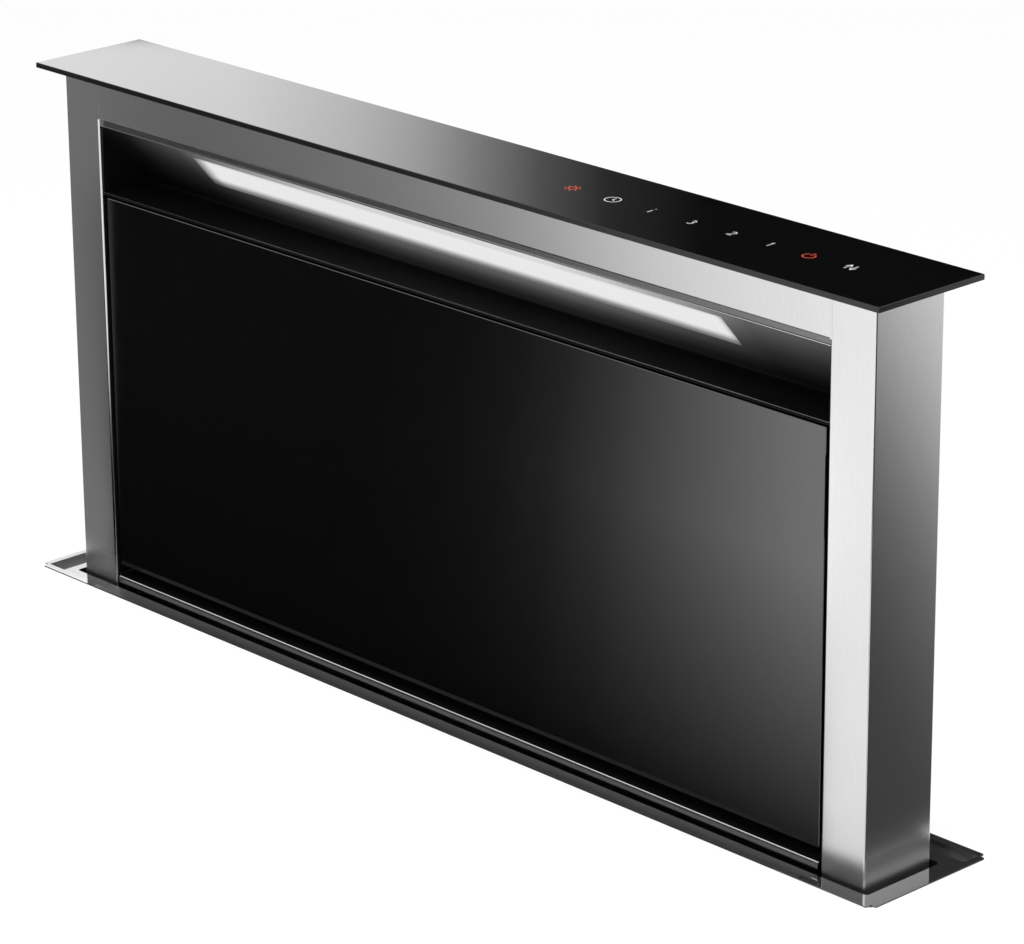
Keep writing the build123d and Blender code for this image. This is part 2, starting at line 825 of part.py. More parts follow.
with BuildPart() as housing_front:
    with BuildSketch(Plane.YZ):
        folded(
            [
                (wall_front - sheet - wall_flange, tray_under),
                (wall_front, tray_under),
                (wall_front, base_top),
            ],
            Side.RIGHT,
        )
    extrude(amount=wall_x - corner_gap, both=True)
    with BuildSketch(Plane.XZ.offset(-wall_front)):
        with Locations((blower_x, blower_z)):
            Circle(hole_radius)
    extrude(amount=sheet, mode=Mode.SUBTRACT)
housing_front.part.label = "housing_front"
export_step(housing_front.part, "parts/housing_front.step")

with BuildPart() as housing_back:
    with BuildSketch(Plane.YZ):
        folded(
            [
                (wall_back + sheet + wall_flange, tray_under),
                (wall_back, tray_under),
                (wall_back, base_top),
            ],
            Side.LEFT,
        )
    extrude(amount=wall_x - corner_gap, both=True)
    beads = [(0, -bead_top - i * bead_pitch) for i in range(bead_count)]
    with BuildSketch(Plane.XZ.offset(-wall_back - sheet)):
        with Locations(*beads):
            SlotOverall(bead_length, bead_breadth)
    extrude(amount=-bead_rise, taper=bead_taper)
    with BuildSketch(Plane.XZ.offset(-wall_back)):
        with Locations(*beads):
            SlotOverall(bead_length - 2 * sheet, bead_breadth - 2 * sheet)
    extrude(amount=-bead_rise, taper=bead_taper, mode=Mode.SUBTRACT)
housing_back.part.label = "housing_back"
export_step(housing_back.part, "parts/housing_back.step")

for name, s in SIDES:
    with BuildPart() as housing_end:
        with BuildSketch(Plane.XY.offset(base_top)):
            folded(
                [
                    (s * (wall_x - end_return), wall_front - sheet),
                    (s * wall_x, wall_front - sheet),
                    (s * wall_x, wall_back + sheet),
                    (s * (wall_x - end_return), wall_back + sheet),
                ],
                Side.RIGHT if s > 0 else Side.LEFT,
                radius=bend - sheet,
            )
        extrude(amount=tray_under - bend - base_top)
        with BuildSketch(Plane.XY.offset(tray_under - bend)):
            block(
                min(s * wall_x, s * (wall_x + sheet)),
                max(s * wall_x, s * (wall_x + sheet)),
                wall_front,
                wall_back,
            )
        extrude(amount=bend)
        with BuildSketch(Plane.XY.offset(tray_under - sheet)):
            block(
                min(s * wall_x, s * (wall_x + end_flange)),
                max(s * wall_x, s * (wall_x + end_flange)),
                wall_front,
                wall_back,
            )
        extrude(amount=sheet)
        with BuildSketch(Plane.YZ.offset(s * wall_x)):
            with Locations((tower_middle, tray_under - fixing_top - fixing_pitch / 2)):
                with GridLocations(fixing_spread, fixing_pitch, 2, 2):
                    Circle(fixing_radius)
        extrude(amount=s * sheet, mode=Mode.SUBTRACT)
    housing_end.part.label = f"housing_{name}_end"
    export_step(housing_end.part, f"parts/housing_{name}_end.step")

with BuildSketch(Plane.XY.offset(base_top)) as base_outline:
    block(-wall_x - sheet, wall_x + sheet, wall_front - 2 * sheet, wall_back + 2 * sheet)
    with Locations((motor_x, motor_y)):
        Circle(nose_radius)
    make_hull()

with BuildPart() as housing_base:
    add(base_outline.sketch)
    extrude(amount=-base_sheet)
    with BuildSketch(Plane.XY.offset(base_top)):
        block(-wall_x, wall_x, wall_front, wall_back)
        block(
            -wall_x + base_sheet,
            wall_x - base_sheet,
            wall_front + base_sheet,
            wall_back - base_sheet,
            mode=Mode.SUBTRACT,
        )
    extrude(amount=base_lip)
    with BuildSketch(Plane.XY.offset(base_top)):
        with Locations((-screw_x, tower_middle), (screw_x, tower_middle)):
            Circle(bearing_spigot_radius + running_clearance)
        with Locations((motor_x, motor_y)):
            Circle(motor_shaft_radius + shaft_hole_gap)
    extrude(amount=-base_sheet, mode=Mode.SUBTRACT)
housing_base.part.label = "housing_base"
export_step(housing_base.part, "parts/housing_base.step")

with BuildPart() as belt_cover:
    with BuildSketch(Plane.XY.offset(cover_under)):
        add(base_outline.sketch_local)
    extrude(amount=cover_depth)
    with BuildSketch(Plane.XY.offset(cover_under + sheet)):
        add(base_outline.sketch_local)
        offset(amount=-sheet, kind=Kind.INTERSECTION)
    extrude(amount=cover_depth, mode=Mode.SUBTRACT)
    with BuildSketch(Plane.XY.offset(cover_under)):
        with Locations((-foot_x, tower_middle), (foot_x, tower_middle)):
            Circle(foot_rod_radius + foot_hole_clearance)
    extrude(amount=sheet, mode=Mode.SUBTRACT)
belt_cover.part.label = "belt_cover"
export_step(belt_cover.part, "parts/belt_cover.step")

with BuildPart() as support_feet:
    foot_z = cover_under - foot_reach
    with BuildSketch(Plane.XY.offset(foot_z)):
        with Locations((-foot_x, tower_middle), (foot_x, tower_middle)):
            Circle(foot_pad_radius)
    extrude(amount=foot_pad_height)
    chamfer(support_feet.edges().group_by(Axis.Z)[-1], length=foot_chamfer)
    with BuildSketch(Plane.XY.offset(foot_z)):
        with Locations((-foot_x, tower_middle), (foot_x, tower_middle)):
            Circle(foot_rod_radius)
    extrude(amount=base_under - foot_z)
    with BuildSketch(Plane.XY.offset(foot_z + foot_pad_height + foot_nut_rise)):
        with Locations((-foot_x, tower_middle), (foot_x, tower_middle)):
            RegularPolygon(foot_nut_radius, nut_side_count)
    extrude(amount=foot_nut_height)
support_feet.part.label = "support_feet"
export_step(support_feet.part, "parts/support_feet.step")

with BuildPart() as clamp_brackets:
    for direction, face in ((-1, wall_front - sheet), (1, wall_back + sheet)):
        with BuildSketch(Plane.YZ) as section:
            folded(
                [
                    (face, -bracket_drop - bracket_leg),
                    (face, -bracket_drop),
                    (face + direction * bracket_arm, -bracket_drop),
                ],
                Side.LEFT if direction < 0 else Side.RIGHT,
                bracket_sheet,
                bracket_bend,
            )
        for s in (-1, 1):
            extrude(
                section.sketch.faces()[0].moved(Location((s * bracket_x, 0, 0))),
                amount=bracket_width / 2,
                both=True,
            )
        clamp_y = face + direction * clamp_out
        with BuildSketch(Plane.XY.offset(-bracket_drop)):
            with Locations((-bracket_x, clamp_y), (bracket_x, clamp_y)):
                Circle(clamp_screw_radius + running_clearance)
        extrude(amount=bracket_sheet, both=True, mode=Mode.SUBTRACT)
clamp_brackets.part.label = "clamp_brackets"
export_step(clamp_brackets.part, "parts/clamp_brackets.step")

with BuildPart() as clamp_screws:
    for direction, face in ((-1, wall_front - sheet), (1, wall_back + sheet)):
        clamp_y = face + direction * clamp_out
        spots = [(-bracket_x, clamp_y), (bracket_x, clamp_y)]
        with BuildSketch(Plane.XY.offset(-worktop_thickness)):
            with Locations(*spots):
                Circle(clamp_pad_radius)
        extrude(amount=-clamp_pad_height)
        with BuildSketch(Plane.XY.offset(-worktop_thickness - clamp_pad_height)):
            with Locations(*spots):
                Circle(clamp_screw_radius)
        extrude(amount=-(bracket_drop - worktop_thickness - clamp_pad_height + clamp_tail))
clamp_screws.part.label = "clamp_screws"
export_step(clamp_screws.part, "parts/clamp_screws.step")


# ---------------------------------------------------------------- guides and screws
rail_top = tray_under - rail_top_gap

for name, s in SIDES:
    with BuildPart() as guide_rail:
        half = rail_breadth / 2
        inner_x = s * (half_tower + rail_column_gap)
        with BuildSketch(Plane.XY.offset(base_top + base_lip)):
            folded(
                [
                    (inner_x, tower_middle - half),
                    (s * wall_x, tower_middle - half),
                    (s * wall_x, tower_middle + half),
                    (inner_x, tower_middle + half),
                ],
                Side.LEFT if s > 0 else Side.RIGHT,
                rail_wall,
                guide_bend,
            )
        extrude(amount=rail_top - base_top - base_lip)
    guide_rail.part.label = f"{name}_guide_rail"
    export_step(guide_rail.part, f"parts/{name}_guide_rail.step")

with BuildPart() as screw_bearings:
    bore = screw_journal_radius + running_clearance
    for s in (-1, 1):
        foot_point = (s * screw_x, tower_middle, base_under)
        with BuildSketch(Plane(foot_point, x_dir=(1, 0, 0), z_dir=(0, -1, 0))):
            with BuildLine():
                Polyline(
                    (bore, -bearing_height),
                    (bearing_radius, -bearing_height),
                    (bearing_radius, 0),
                    (bearing_spigot_radius, 0),
                    (bearing_spigot_radius, bearing_spigot),
                    (bore, bearing_spigot),
                    close=True,
                )
            make_face()
        revolve(axis=Axis(foot_point, (0, 0, 1)))
screw_bearings.part.label = "screw_bearings"
export_step(screw_bearings.part, "parts/screw_bearings.step")

shoulder_z = base_under + bearing_spigot
screw_top = skirt_z + nut_height + screw_above_nut

for name, s in SIDES:
    with BuildPart() as lift_screw:
        with BuildSketch(Plane.XY.offset(pulley_under - journal_past_pulley)):
            with Locations((s * screw_x, tower_middle)):
                Circle(screw_journal_radius)
        extrude(amount=shoulder_z - pulley_under + journal_past_pulley)
        with BuildSketch(Plane.XY.offset(shoulder_z)):
            with Locations((s * screw_x, tower_middle)):
                Circle(screw_radius)
        extrude(amount=screw_top - shoulder_z)
        chamfer(lift_screw.edges().group_by(Axis.Z)[-1], length=screw_chamfer)
    lift_screw.part.label = f"{name}_lift_screw"
    export_step(lift_screw.part, f"parts/{name}_lift_screw.step")


def pulley_rim(x, y, radius):
    """A belt pulley's rim: two flanges and the band between them, in the active part."""
    for level, height, size in (
        (pulley_under, pulley_flange, radius + pulley_flange_rise),
        (pulley_under + pulley_flange, pulley_width, radius),
        (pulley_under + pulley_flange + pulley_width, pulley_flange, radius + pulley_flange_rise),
    ):
        with BuildSketch(Plane.XY.offset(level)) as disc:
            with Locations((x, y)):
                Circle(size)
        extrude(disc.sketch, amount=height)


for name, s in SIDES:
    with BuildPart() as screw_pulley:
        pulley_rim(s * screw_x, tower_middle, pulley_radius)
        with BuildSketch(Plane.XY.offset(pulley_top)):
            with Locations((s * screw_x, tower_middle)):
                Circle(pulley_hub_radius)
        extrude(amount=bearing_under - pulley_end_gap - pulley_top)
        with BuildSketch(Plane.XY.offset(pulley_under)):
            with Locations((s * screw_x, tower_middle)):
                Circle(screw_journal_radius)
        extrude(amount=bearing_under - pulley_under, mode=Mode.SUBTRACT)
    screw_pulley.part.label = f"{name}_screw_pulley"
    export_step(screw_pulley.part, f"parts/{name}_screw_pulley.step")

with BuildPart() as motor_pulley:
    pulley_rim(motor_x, motor_y, motor_pulley_radius)
    with BuildSketch(Plane.XY.offset(pulley_under)):
        with Locations((motor_x, motor_y)):
            Circle(motor_shaft_radius)
    extrude(amount=base_top + motor_shaft_depth - shaft_end_gap - pulley_under)
motor_pulley.part.label = "motor_pulley"
export_step(motor_pulley.part, "parts/motor_pulley.step")


def belt_loop(extra):
    """The region inside a belt round the three pulleys, in the active sketch."""
    with Locations((-screw_x, tower_middle), (screw_x, tower_middle)):
        Circle(pulley_radius + extra)
    with Locations((motor_x, motor_y)):
        Circle(motor_pulley_radius + extra)
    make_hull()


with BuildPart() as drive_belt:
    belt_z = pulley_under + pulley_flange + belt_side_gap
    belt_width = pulley_width - 2 * belt_side_gap
    with BuildSketch(Plane.XY.offset(belt_z)):
        belt_loop(belt_gap + belt_thickness)
    extrude(amount=belt_width)
    with BuildSketch(Plane.XY.offset(belt_z)):
        belt_loop(belt_gap)
    extrude(amount=belt_width, mode=Mode.SUBTRACT)
drive_belt.part.label = "drive_belt"
export_step(drive_belt.part, "parts/drive_belt.step")

with BuildPart() as lift_motor:
    with BuildSketch(Plane.XY.offset(base_top)):
        with Locations((motor_x, motor_y)):
            RectangleRounded(motor_plate, motor_plate, motor_plate_round)
    extrude(amount=motor_plate_thickness)
    with BuildSketch(Plane.XY.offset(base_top)):
        with Locations((motor_x, motor_y)):
            Circle(gearbox_radius)
    extrude(amount=gearbox_height)
    with BuildSketch(Plane.XY.offset(base_top + gearbox_height)):
        with Locations((motor_x, motor_y)):
            Circle(motor_radius)
    extrude(amount=motor_height)
    fillet(lift_motor.edges().group_by(Axis.Z)[-1], radius=motor_round)
    with BuildSketch(Plane.XY.offset(base_top)):
        with Locations((motor_x, motor_y)):
            Circle(motor_shaft_radius + running_clearance)
    extrude(amount=motor_shaft_depth, mode=Mode.SUBTRACT)
lift_motor.part.label = "lift_motor"
export_step(lift_motor.part, "parts/lift_motor.step")

with BuildPart() as limit_switches:
    switch_y = tower_middle + rail_breadth / 2 + switch_from_rail + switch_size[1] / 2
    for level in (rail_top - switch_inset, base_top + base_lip + switch_inset):
        with BuildSketch(Plane.XY.offset(level - switch_size[2] / 2)):
            with Locations((wall_x - switch_size[0] / 2, switch_y)):
                Rectangle(switch_size[0], switch_size[1])
        extrude(amount=switch_size[2])
limit_switches.part.label = "limit_switches"
export_step(limit_switches.part, "parts/limit_switches.step")


# ---------------------------------------------------------------- blower
scroll_back = wall_front - 2 * sheet
scroll_front = scroll_back - scroll_depth
wheel_near = scroll_back - wheel_end_gap
wheel_far = wheel_near - wheel_length - wheel_plate
first_radius = wheel_radius + scroll_gap + scroll_step / 2
half_step = scroll_step / 2
tongue_arc = first_radius - scroll_step
tongue_x = blower_x - half_step - tongue_arc * cos(radians(tongue_angle))
tongue_z = blower_z + half_step - tongue_arc * sin(radians(tongue_angle))
outlet_x = blower_x - wheel_radius - scroll_gap - outlet_run
outlet_low = blower_z - half_step - first_radius - 2 * scroll_step
outlet_z = (outlet_low + tongue_z) / 2


def scroll_region():
    """The air passage of the scroll in the active sketch: quarter arcs that grow clockwise."""
    west = (blower_x - half_step, blower_z + half_step)
    north_west = (blower_x + half_step, blower_z + half_step)
    north_east = (blower_x + half_step, blower_z - half_step)
    south_east = (blower_x - half_step, blower_z - half_step)
    with BuildLine(mode=Mode.PRIVATE) as outline:
        tongue = CenterArc(west, tongue_arc, 180 + tongue_angle, -tongue_angle)
        CenterArc(north_west, first_radius, 180, -90)
        CenterArc(north_east, first_radius + scroll_step, 90, -90)
        last = CenterArc(south_east, first_radius + 2 * scroll_step, 0, -90)
        floor = Line(last @ 1, (outlet_x, outlet_low))
        mouth = Line(floor @ 1, (outlet_x, tongue_z))
        Line(mouth @ 1, tongue @ 0)
    make_face(outline.edges())


def trim_outlet(margin):
    """Cuts the active sketch off at the outlet's plane."""
    block(outlet_x - margin, outlet_x, outlet_low - margin, tongue_z + margin, mode=Mode.SUBTRACT)


with BuildSketch(Plane.XZ.offset(-scroll_back)) as passage:
    scroll_region()
    corner = passage.vertices().sort_by_distance((tongue_x, tongue_z))[0]
    fillet(corner, radius=tongue_radius)

with BuildPart() as scroll_wrap:
    with BuildSketch(Plane.XZ.offset(-scroll_back)):
        add(passage.sketch_local)
        offset(amount=sheet, kind=Kind.INTERSECTION)
        add(passage.sketch_local, mode=Mode.SUBTRACT)
        trim_outlet(2 * sheet)
    extrude(amount=scroll_depth)
scroll_wrap.part.label = "scroll_wrap"
export_step(scroll_wrap.part, "parts/scroll_wrap.step")

with BuildPart() as scroll_back_plate:
    with BuildSketch(Plane.XZ.offset(-scroll_back - sheet)):
        add(passage.sketch_local)
        offset(amount=scroll_rim)
        trim_outlet(2 * scroll_rim)
        with Locations((blower_x, blower_z)):
            Circle(hole_radius, mode=Mode.SUBTRACT)
    extrude(amount=sheet)
scroll_back_plate.part.label = "scroll_back_plate"
export_step(scroll_back_plate.part, "parts/scroll_back_plate.step")

with BuildPart() as scroll_front_plate:
    with BuildSketch(Plane.XZ.offset(-scroll_front)):
        add(passage.sketch_local)
        offset(amount=scroll_rim)
        trim_outlet(2 * scroll_rim)
        with Locations((blower_x, blower_z)):
            Circle(motor_boss_radius + boss_fit, mode=Mode.SUBTRACT)
    extrude(amount=sheet)
scroll_front_plate.part.label = "scroll_front_plate"
export_step(scroll_front_plate.part, "parts/scroll_front_plate.step")

with BuildPart() as inlet_ring:
    neck = inlet_radius + inlet_sheet
    with BuildSketch(Plane(origin=(blower_x, 0, blower_z), x_dir=(1, 0, 0), z_dir=(0, 0, 1))):
        with BuildLine():
            Polyline(
                (neck + inlet_flange, wall_front + sheet),
                (inlet_radius + sheet, wall_front + sheet),
                (inlet_radius, wall_front - sheet),
                (inlet_radius, wheel_near - inlet_reach),
                (neck, wheel_near - inlet_reach),
                (neck, wall_front),
                (neck + inlet_flange, wall_front),
                close=True,
            )
        make_face()
    revolve(axis=Axis((blower_x, 0, blower_z), (0, 1, 0)))
inlet_ring.part.label = "inlet_ring"
export_step(inlet_ring.part, "parts/inlet_ring.step")

with BuildPart() as blower_wheel:
    eye = wheel_radius - blade_depth
    with BuildSketch(Plane.XZ.offset(-wheel_near)):
        with BuildSketch(mode=Mode.PRIVATE) as blade:
            tip = (
                (wheel_radius - blade_inset) * cos(radians(blade_lead)),
                -(wheel_radius - blade_inset) * sin(radians(blade_lead)),
            )
            with BuildLine():
                camber = RadiusArc((eye, 0), tip, blade_curve)
                offset(camber, amount=blade_thickness, side=Side.LEFT)
            make_face()
        with Locations((blower_x, blower_z)):
            with PolarLocations(0, blade_count):
                add(blade.sketch)
    extrude(amount=wheel_length)
    with BuildSketch(Plane.XZ.offset(-wheel_near + wheel_length)):
        with Locations((blower_x, blower_z)):
            Circle(wheel_radius)
    extrude(amount=wheel_plate)
    with BuildSketch(Plane.XZ.offset(-wheel_near)):
        with Locations((blower_x, blower_z)):
            Circle(wheel_radius + wheel_ring_past)
            Circle(eye + wheel_ring_past, mode=Mode.SUBTRACT)
    extrude(amount=wheel_ring)
    with BuildSketch(Plane.XZ.offset(-wheel_far)):
        with Locations((blower_x, blower_z)):
            Circle(hub_radius)
    extrude(amount=-hub_length)
    with BuildSketch(Plane.XZ.offset(-wheel_far)):
        with Locations((blower_x, blower_z)):
            Circle(blower_shaft_radius)
    extrude(amount=wheel_far - scroll_front + blower_shaft_reach)
blower_wheel.part.label = "blower_wheel"
export_step(blower_wheel.part, "parts/blower_wheel.step")

with BuildPart() as blower_motor:
    with BuildSketch(Plane.XZ.offset(-scroll_front + sheet)):
        with Locations((blower_x, blower_z)):
            Circle(blower_motor_radius)
    extrude(amount=blower_motor_length)
    fillet(blower_motor.edges().group_by(Axis.Y)[0], radius=blower_motor_round)
    with BuildSketch(Plane.XZ.offset(-scroll_front + sheet)):
        with Locations((blower_x, blower_z)):
            Circle(blower_flange_radius)
            with PolarLocations(blower_bolt_circle, blower_bolt_count, start_angle=45):
                Circle(blower_bolt_radius, mode=Mode.SUBTRACT)
    extrude(amount=blower_flange)
    with BuildSketch(Plane.XZ.offset(-scroll_front + sheet)):
        with Locations((blower_x, blower_z)):
            Circle(motor_boss_radius)
    extrude(amount=-2 * sheet)
    with BuildSketch(Plane.XZ.offset(-scroll_front - sheet)):
        with Locations((blower_x, blower_z)):
            Circle(blower_shaft_radius + running_clearance)
    extrude(amount=sheet + blower_shaft_reach + blower_shaft_gap, mode=Mode.SUBTRACT)
blower_motor.part.label = "blower_motor"
export_step(blower_motor.part, "parts/blower_motor.step")


# ---------------------------------------------------------------- duct outlet
collar_y = wall_front - 2 * sheet - collar_front_gap - collar_radius
collar_x = outlet_x - adapter_length
throat_y = (scroll_back + scroll_front) / 2
throat_height = tongue_z - outlet_low
west_plane = Plane(origin=(outlet_x, 0, 0), x_dir=(0, -1, 0), z_dir=(-1, 0, 0))


def throat_section(distance, grow):
    """The square throat's outline, that far along the adapter."""
    with BuildSketch(west_plane.offset(distance)) as throat:
        with Locations((-throat_y, outlet_z)):
            RectangleRounded(scroll_depth + 2 * grow, throat_height + 2 * grow, throat_round + grow)
    return throat.sketch.face()


def transition(grow):
    """A straight socket and a throat drawn out to the round collar, in the active part."""
    extrude(throat_section(0, grow), amount=socket_length)
    with BuildSketch(west_plane.offset(adapter_length)) as mouth:
        with Locations((-collar_y, outlet_z)):
            Circle(collar_radius - collar_wall + grow)
    loft(sections=[throat_section(socket_length, grow), mouth.sketch.face()])


with BuildPart() as outlet_adapter:
    transition(sheet)
    with BuildPart(mode=Mode.PRIVATE) as bore:
        transition(0)
    add(bore.part, mode=Mode.SUBTRACT)
outlet_adapter.part.label = "outlet_adapter"
export_step(outlet_adapter.part, "parts/outlet_adapter.step")

flap_x = collar_x - flap_setback

with BuildPart() as duct_collar:
    with BuildSketch(west_plane.offset(adapter_length)):
        with Locations((-collar_y, outlet_z)):
            Circle(collar_radius)
            Circle(collar_radius - collar_wall, mode=Mode.SUBTRACT)
    extrude(amount=collar_length)
    for s in (-1, 1):
        with BuildSketch(Plane.XY.offset(outlet_z)):
            with Locations((flap_x, collar_y + s * flap_pin_offset)):
                Circle(flap_pin_radius + running_clearance)
        extrude(amount=collar_radius, both=True, mode=Mode.SUBTRACT)
duct_collar.part.label = "duct_collar"
export_step(duct_collar.part, "parts/duct_collar.step")

for name, s in (("front", -1), ("back", 1)):
    with BuildPart() as flap:
        with BuildSketch(west_plane.offset(outlet_x - flap_x - flap_thickness / 2)):
            with Locations((-collar_y, outlet_z)):
                Circle(collar_radius - collar_wall - flap_gap)
            low, high = sorted((-collar_y - s * flap_gap / 2, -collar_y + s * 2 * collar_radius))
            block(low, high, outlet_z - 2 * collar_radius, outlet_z + 2 * collar_radius, mode=Mode.SUBTRACT)
        extrude(amount=flap_thickness)
        with BuildSketch(Plane.XY.offset(outlet_z)):
            with Locations((flap_x, collar_y + s * flap_pin_offset)):
                Circle(flap_pin_radius)
        extrude(amount=collar_radius - flap_pin_end_gap, both=True)
    flap.part.label = f"damper_flap_{name}"
    export_step(flap.part, f"parts/damper_flap_{name}.step")


# ---------------------------------------------------------------- electrical
box_back = wall_front - sheet
box_front = box_back - box_size[1]
box_low = -box_top - box_size[2]
box_right = box_x + box_size[0] / 2
gland_y = (box_back + box_front) / 2
gland_z = box_low + gland_rise

with BuildPart() as control_box:
    with BuildSketch(Plane.XZ.offset(-box_back)):
        block(box_right - box_size[0], box_right, box_low, -box_top)
    extrude(amount=box_size[1])
    offset(amount=-sheet, openings=control_box.faces().sort_by(Axis.Y)[0])
    with BuildSketch(Plane.YZ.offset(box_right)):
        with Locations((gland_y, gland_z)):
            Circle(gland_radius)
    extrude(amount=-sheet, mode=Mode.SUBTRACT)
control_box.part.label = "control_box"
export_step(control_box.part, "parts/control_box.step")

with BuildPart() as control_box_cover:
    with BuildSketch(Plane.XZ.offset(-box_front)):
        block(box_right - box_size[0], box_right, box_low, -box_top)
    extrude(amount=sheet)
    with BuildSketch(Plane.XZ.offset(-box_front)):
        with Locations((box_x, (box_low - box_top) / 2)):
            Rectangle(box_size[0] - 2 * sheet, box_size[2] - 2 * sheet)
            Rectangle(box_size[0] - 4 * sheet, box_size[2] - 4 * sheet, mode=Mode.SUBTRACT)
    extrude(amount=-box_lip)
control_box_cover.part.label = "control_box_cover"
export_step(control_box_cover.part, "parts/control_box_cover.step")

with BuildPart() as control_board:
    board_y = box_back - sheet - board_standoff
    board_width = box_size[0] - 2 * board_margin
    board_height = box_size[2] - 2 * board_margin
    board_z = (box_low - box_top) / 2
    with BuildSketch(Plane.XZ.offset(-board_y)):
        with Locations((box_x, board_z)):
            Rectangle(board_width, board_height)
    extrude(amount=board_thickness)
    with BuildSketch(Plane.XZ.offset(-board_y)):
        with Locations((box_x, board_z)):
            with GridLocations(board_width - 2 * standoff_inset, board_height - 2 * standoff_inset, 2, 2):
                Circle(standoff_radius)
    extrude(amount=-board_standoff)
    with BuildSketch(Plane.XZ.offset(-board_y + board_thickness)):
        with Locations((box_x + transformer_place[0], board_z + transformer_place[1])):
            Rectangle(transformer_size[0], transformer_size[2])
    extrude(amount=transformer_size[1])
    with BuildSketch(Plane.XZ.offset(-board_y + board_thickness)):
        with Locations((box_x + relay_place[0], board_z + relay_place[1])):
            with GridLocations(relay_pitch[0], relay_pitch[1], 2, 2):
                Rectangle(relay_size[0], relay_size[2])
    extrude(amount=relay_size[1])
control_board.part.label = "control_board"
export_step(control_board.part, "parts/control_board.step")

with BuildPart() as cable_gland:
    with BuildSketch(Plane.YZ.offset(box_right)):
        with Locations((gland_y, gland_z)):
            RegularPolygon(gland_nut_radius, nut_side_count)
    extrude(amount=gland_nut_height)
    with BuildSketch(Plane.YZ.offset(box_right - sheet - gland_inside)):
        with Locations((gland_y, gland_z)):
            Circle(gland_radius)
            Circle(gland_bore, mode=Mode.SUBTRACT)
    extrude(amount=gland_inside + sheet + gland_length)
    with BuildSketch(Plane.YZ.offset(box_right)):
        with Locations((gland_y, gland_z)):
            Circle(gland_bore)
    extrude(amount=gland_nut_height, mode=Mode.SUBTRACT)
cable_gland.part.label = "cable_gland"
export_step(cable_gland.part, "parts/cable_gland.step")
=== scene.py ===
import json
import math

import bmesh
import bpy
from mathutils import Matrix, Vector


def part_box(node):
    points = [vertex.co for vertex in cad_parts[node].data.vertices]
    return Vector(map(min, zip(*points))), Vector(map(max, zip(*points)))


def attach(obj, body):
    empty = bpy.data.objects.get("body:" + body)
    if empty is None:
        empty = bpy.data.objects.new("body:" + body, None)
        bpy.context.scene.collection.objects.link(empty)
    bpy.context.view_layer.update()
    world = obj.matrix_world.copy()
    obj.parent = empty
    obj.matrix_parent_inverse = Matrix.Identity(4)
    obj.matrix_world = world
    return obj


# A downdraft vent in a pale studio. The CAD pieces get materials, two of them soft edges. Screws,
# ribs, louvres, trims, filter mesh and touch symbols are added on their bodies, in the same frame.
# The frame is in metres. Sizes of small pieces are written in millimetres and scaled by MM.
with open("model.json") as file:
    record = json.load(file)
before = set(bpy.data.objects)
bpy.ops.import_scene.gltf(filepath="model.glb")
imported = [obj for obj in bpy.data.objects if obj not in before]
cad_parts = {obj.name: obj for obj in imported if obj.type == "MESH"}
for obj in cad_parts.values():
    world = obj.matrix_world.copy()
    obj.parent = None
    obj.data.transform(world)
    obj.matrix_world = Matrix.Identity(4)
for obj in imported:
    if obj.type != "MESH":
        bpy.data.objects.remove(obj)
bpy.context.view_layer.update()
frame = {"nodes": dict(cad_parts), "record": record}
NODES = frame["nodes"]
MM = 0.001


def linked(name, data):
    """A new object in the scene."""
    thing = bpy.data.objects.new(name, data)
    bpy.context.scene.collection.objects.link(thing)
    return thing


# ---------------------------------------------------------------- camera
AZIMUTH = math.radians(46.66)
ELEVATION = math.radians(19.85)
ROLL = math.radians(-0.43)
DISTANCE = 3.24507
TARGET = Vector((0.04074, 0.0, 0.19151))
LENS, SENSOR = 156.68, 36.0
CLIP_NEAR, CLIP_FAR = 0.05, 60.0


def make_camera():
    """The photograph's viewpoint, solved from its straight edges."""
    back = Vector((
        math.sin(AZIMUTH) * math.cos(ELEVATION),
        -math.cos(AZIMUTH) * math.cos(ELEVATION),
        math.sin(ELEVATION),
    ))
    level = Vector((math.cos(AZIMUTH), math.sin(AZIMUTH), 0.0))
    upright = back.cross(level)
    right = level * math.cos(ROLL) + upright * math.sin(ROLL)
    up = upright * math.cos(ROLL) - level * math.sin(ROLL)
    data = bpy.data.cameras.new("camera")
    data.lens = LENS
    data.sensor_width = SENSOR
    data.clip_start = CLIP_NEAR
    data.clip_end = CLIP_FAR
    camera = linked("camera", data)
    camera.matrix_world = Matrix((
        (right.x, up.x, back.x, TARGET.x + back.x * DISTANCE),
        (right.y, up.y, back.y, TARGET.y + back.y * DISTANCE),
        (right.z, up.z, back.z, TARGET.z + back.z * DISTANCE),
        (0, 0, 0, 1),
    ))
    bpy.context.scene.camera = camera


make_camera()

# ---------------------------------------------------------------- material helpers
GRAIN_DEPTH, PEBBLE_DEPTH = 0.2 * MM, 0.3 * MM


def grey(level):
    return (level,) * 3


def tint(colour, factor):
    return tuple(min(1.0, c * factor) for c in colour)


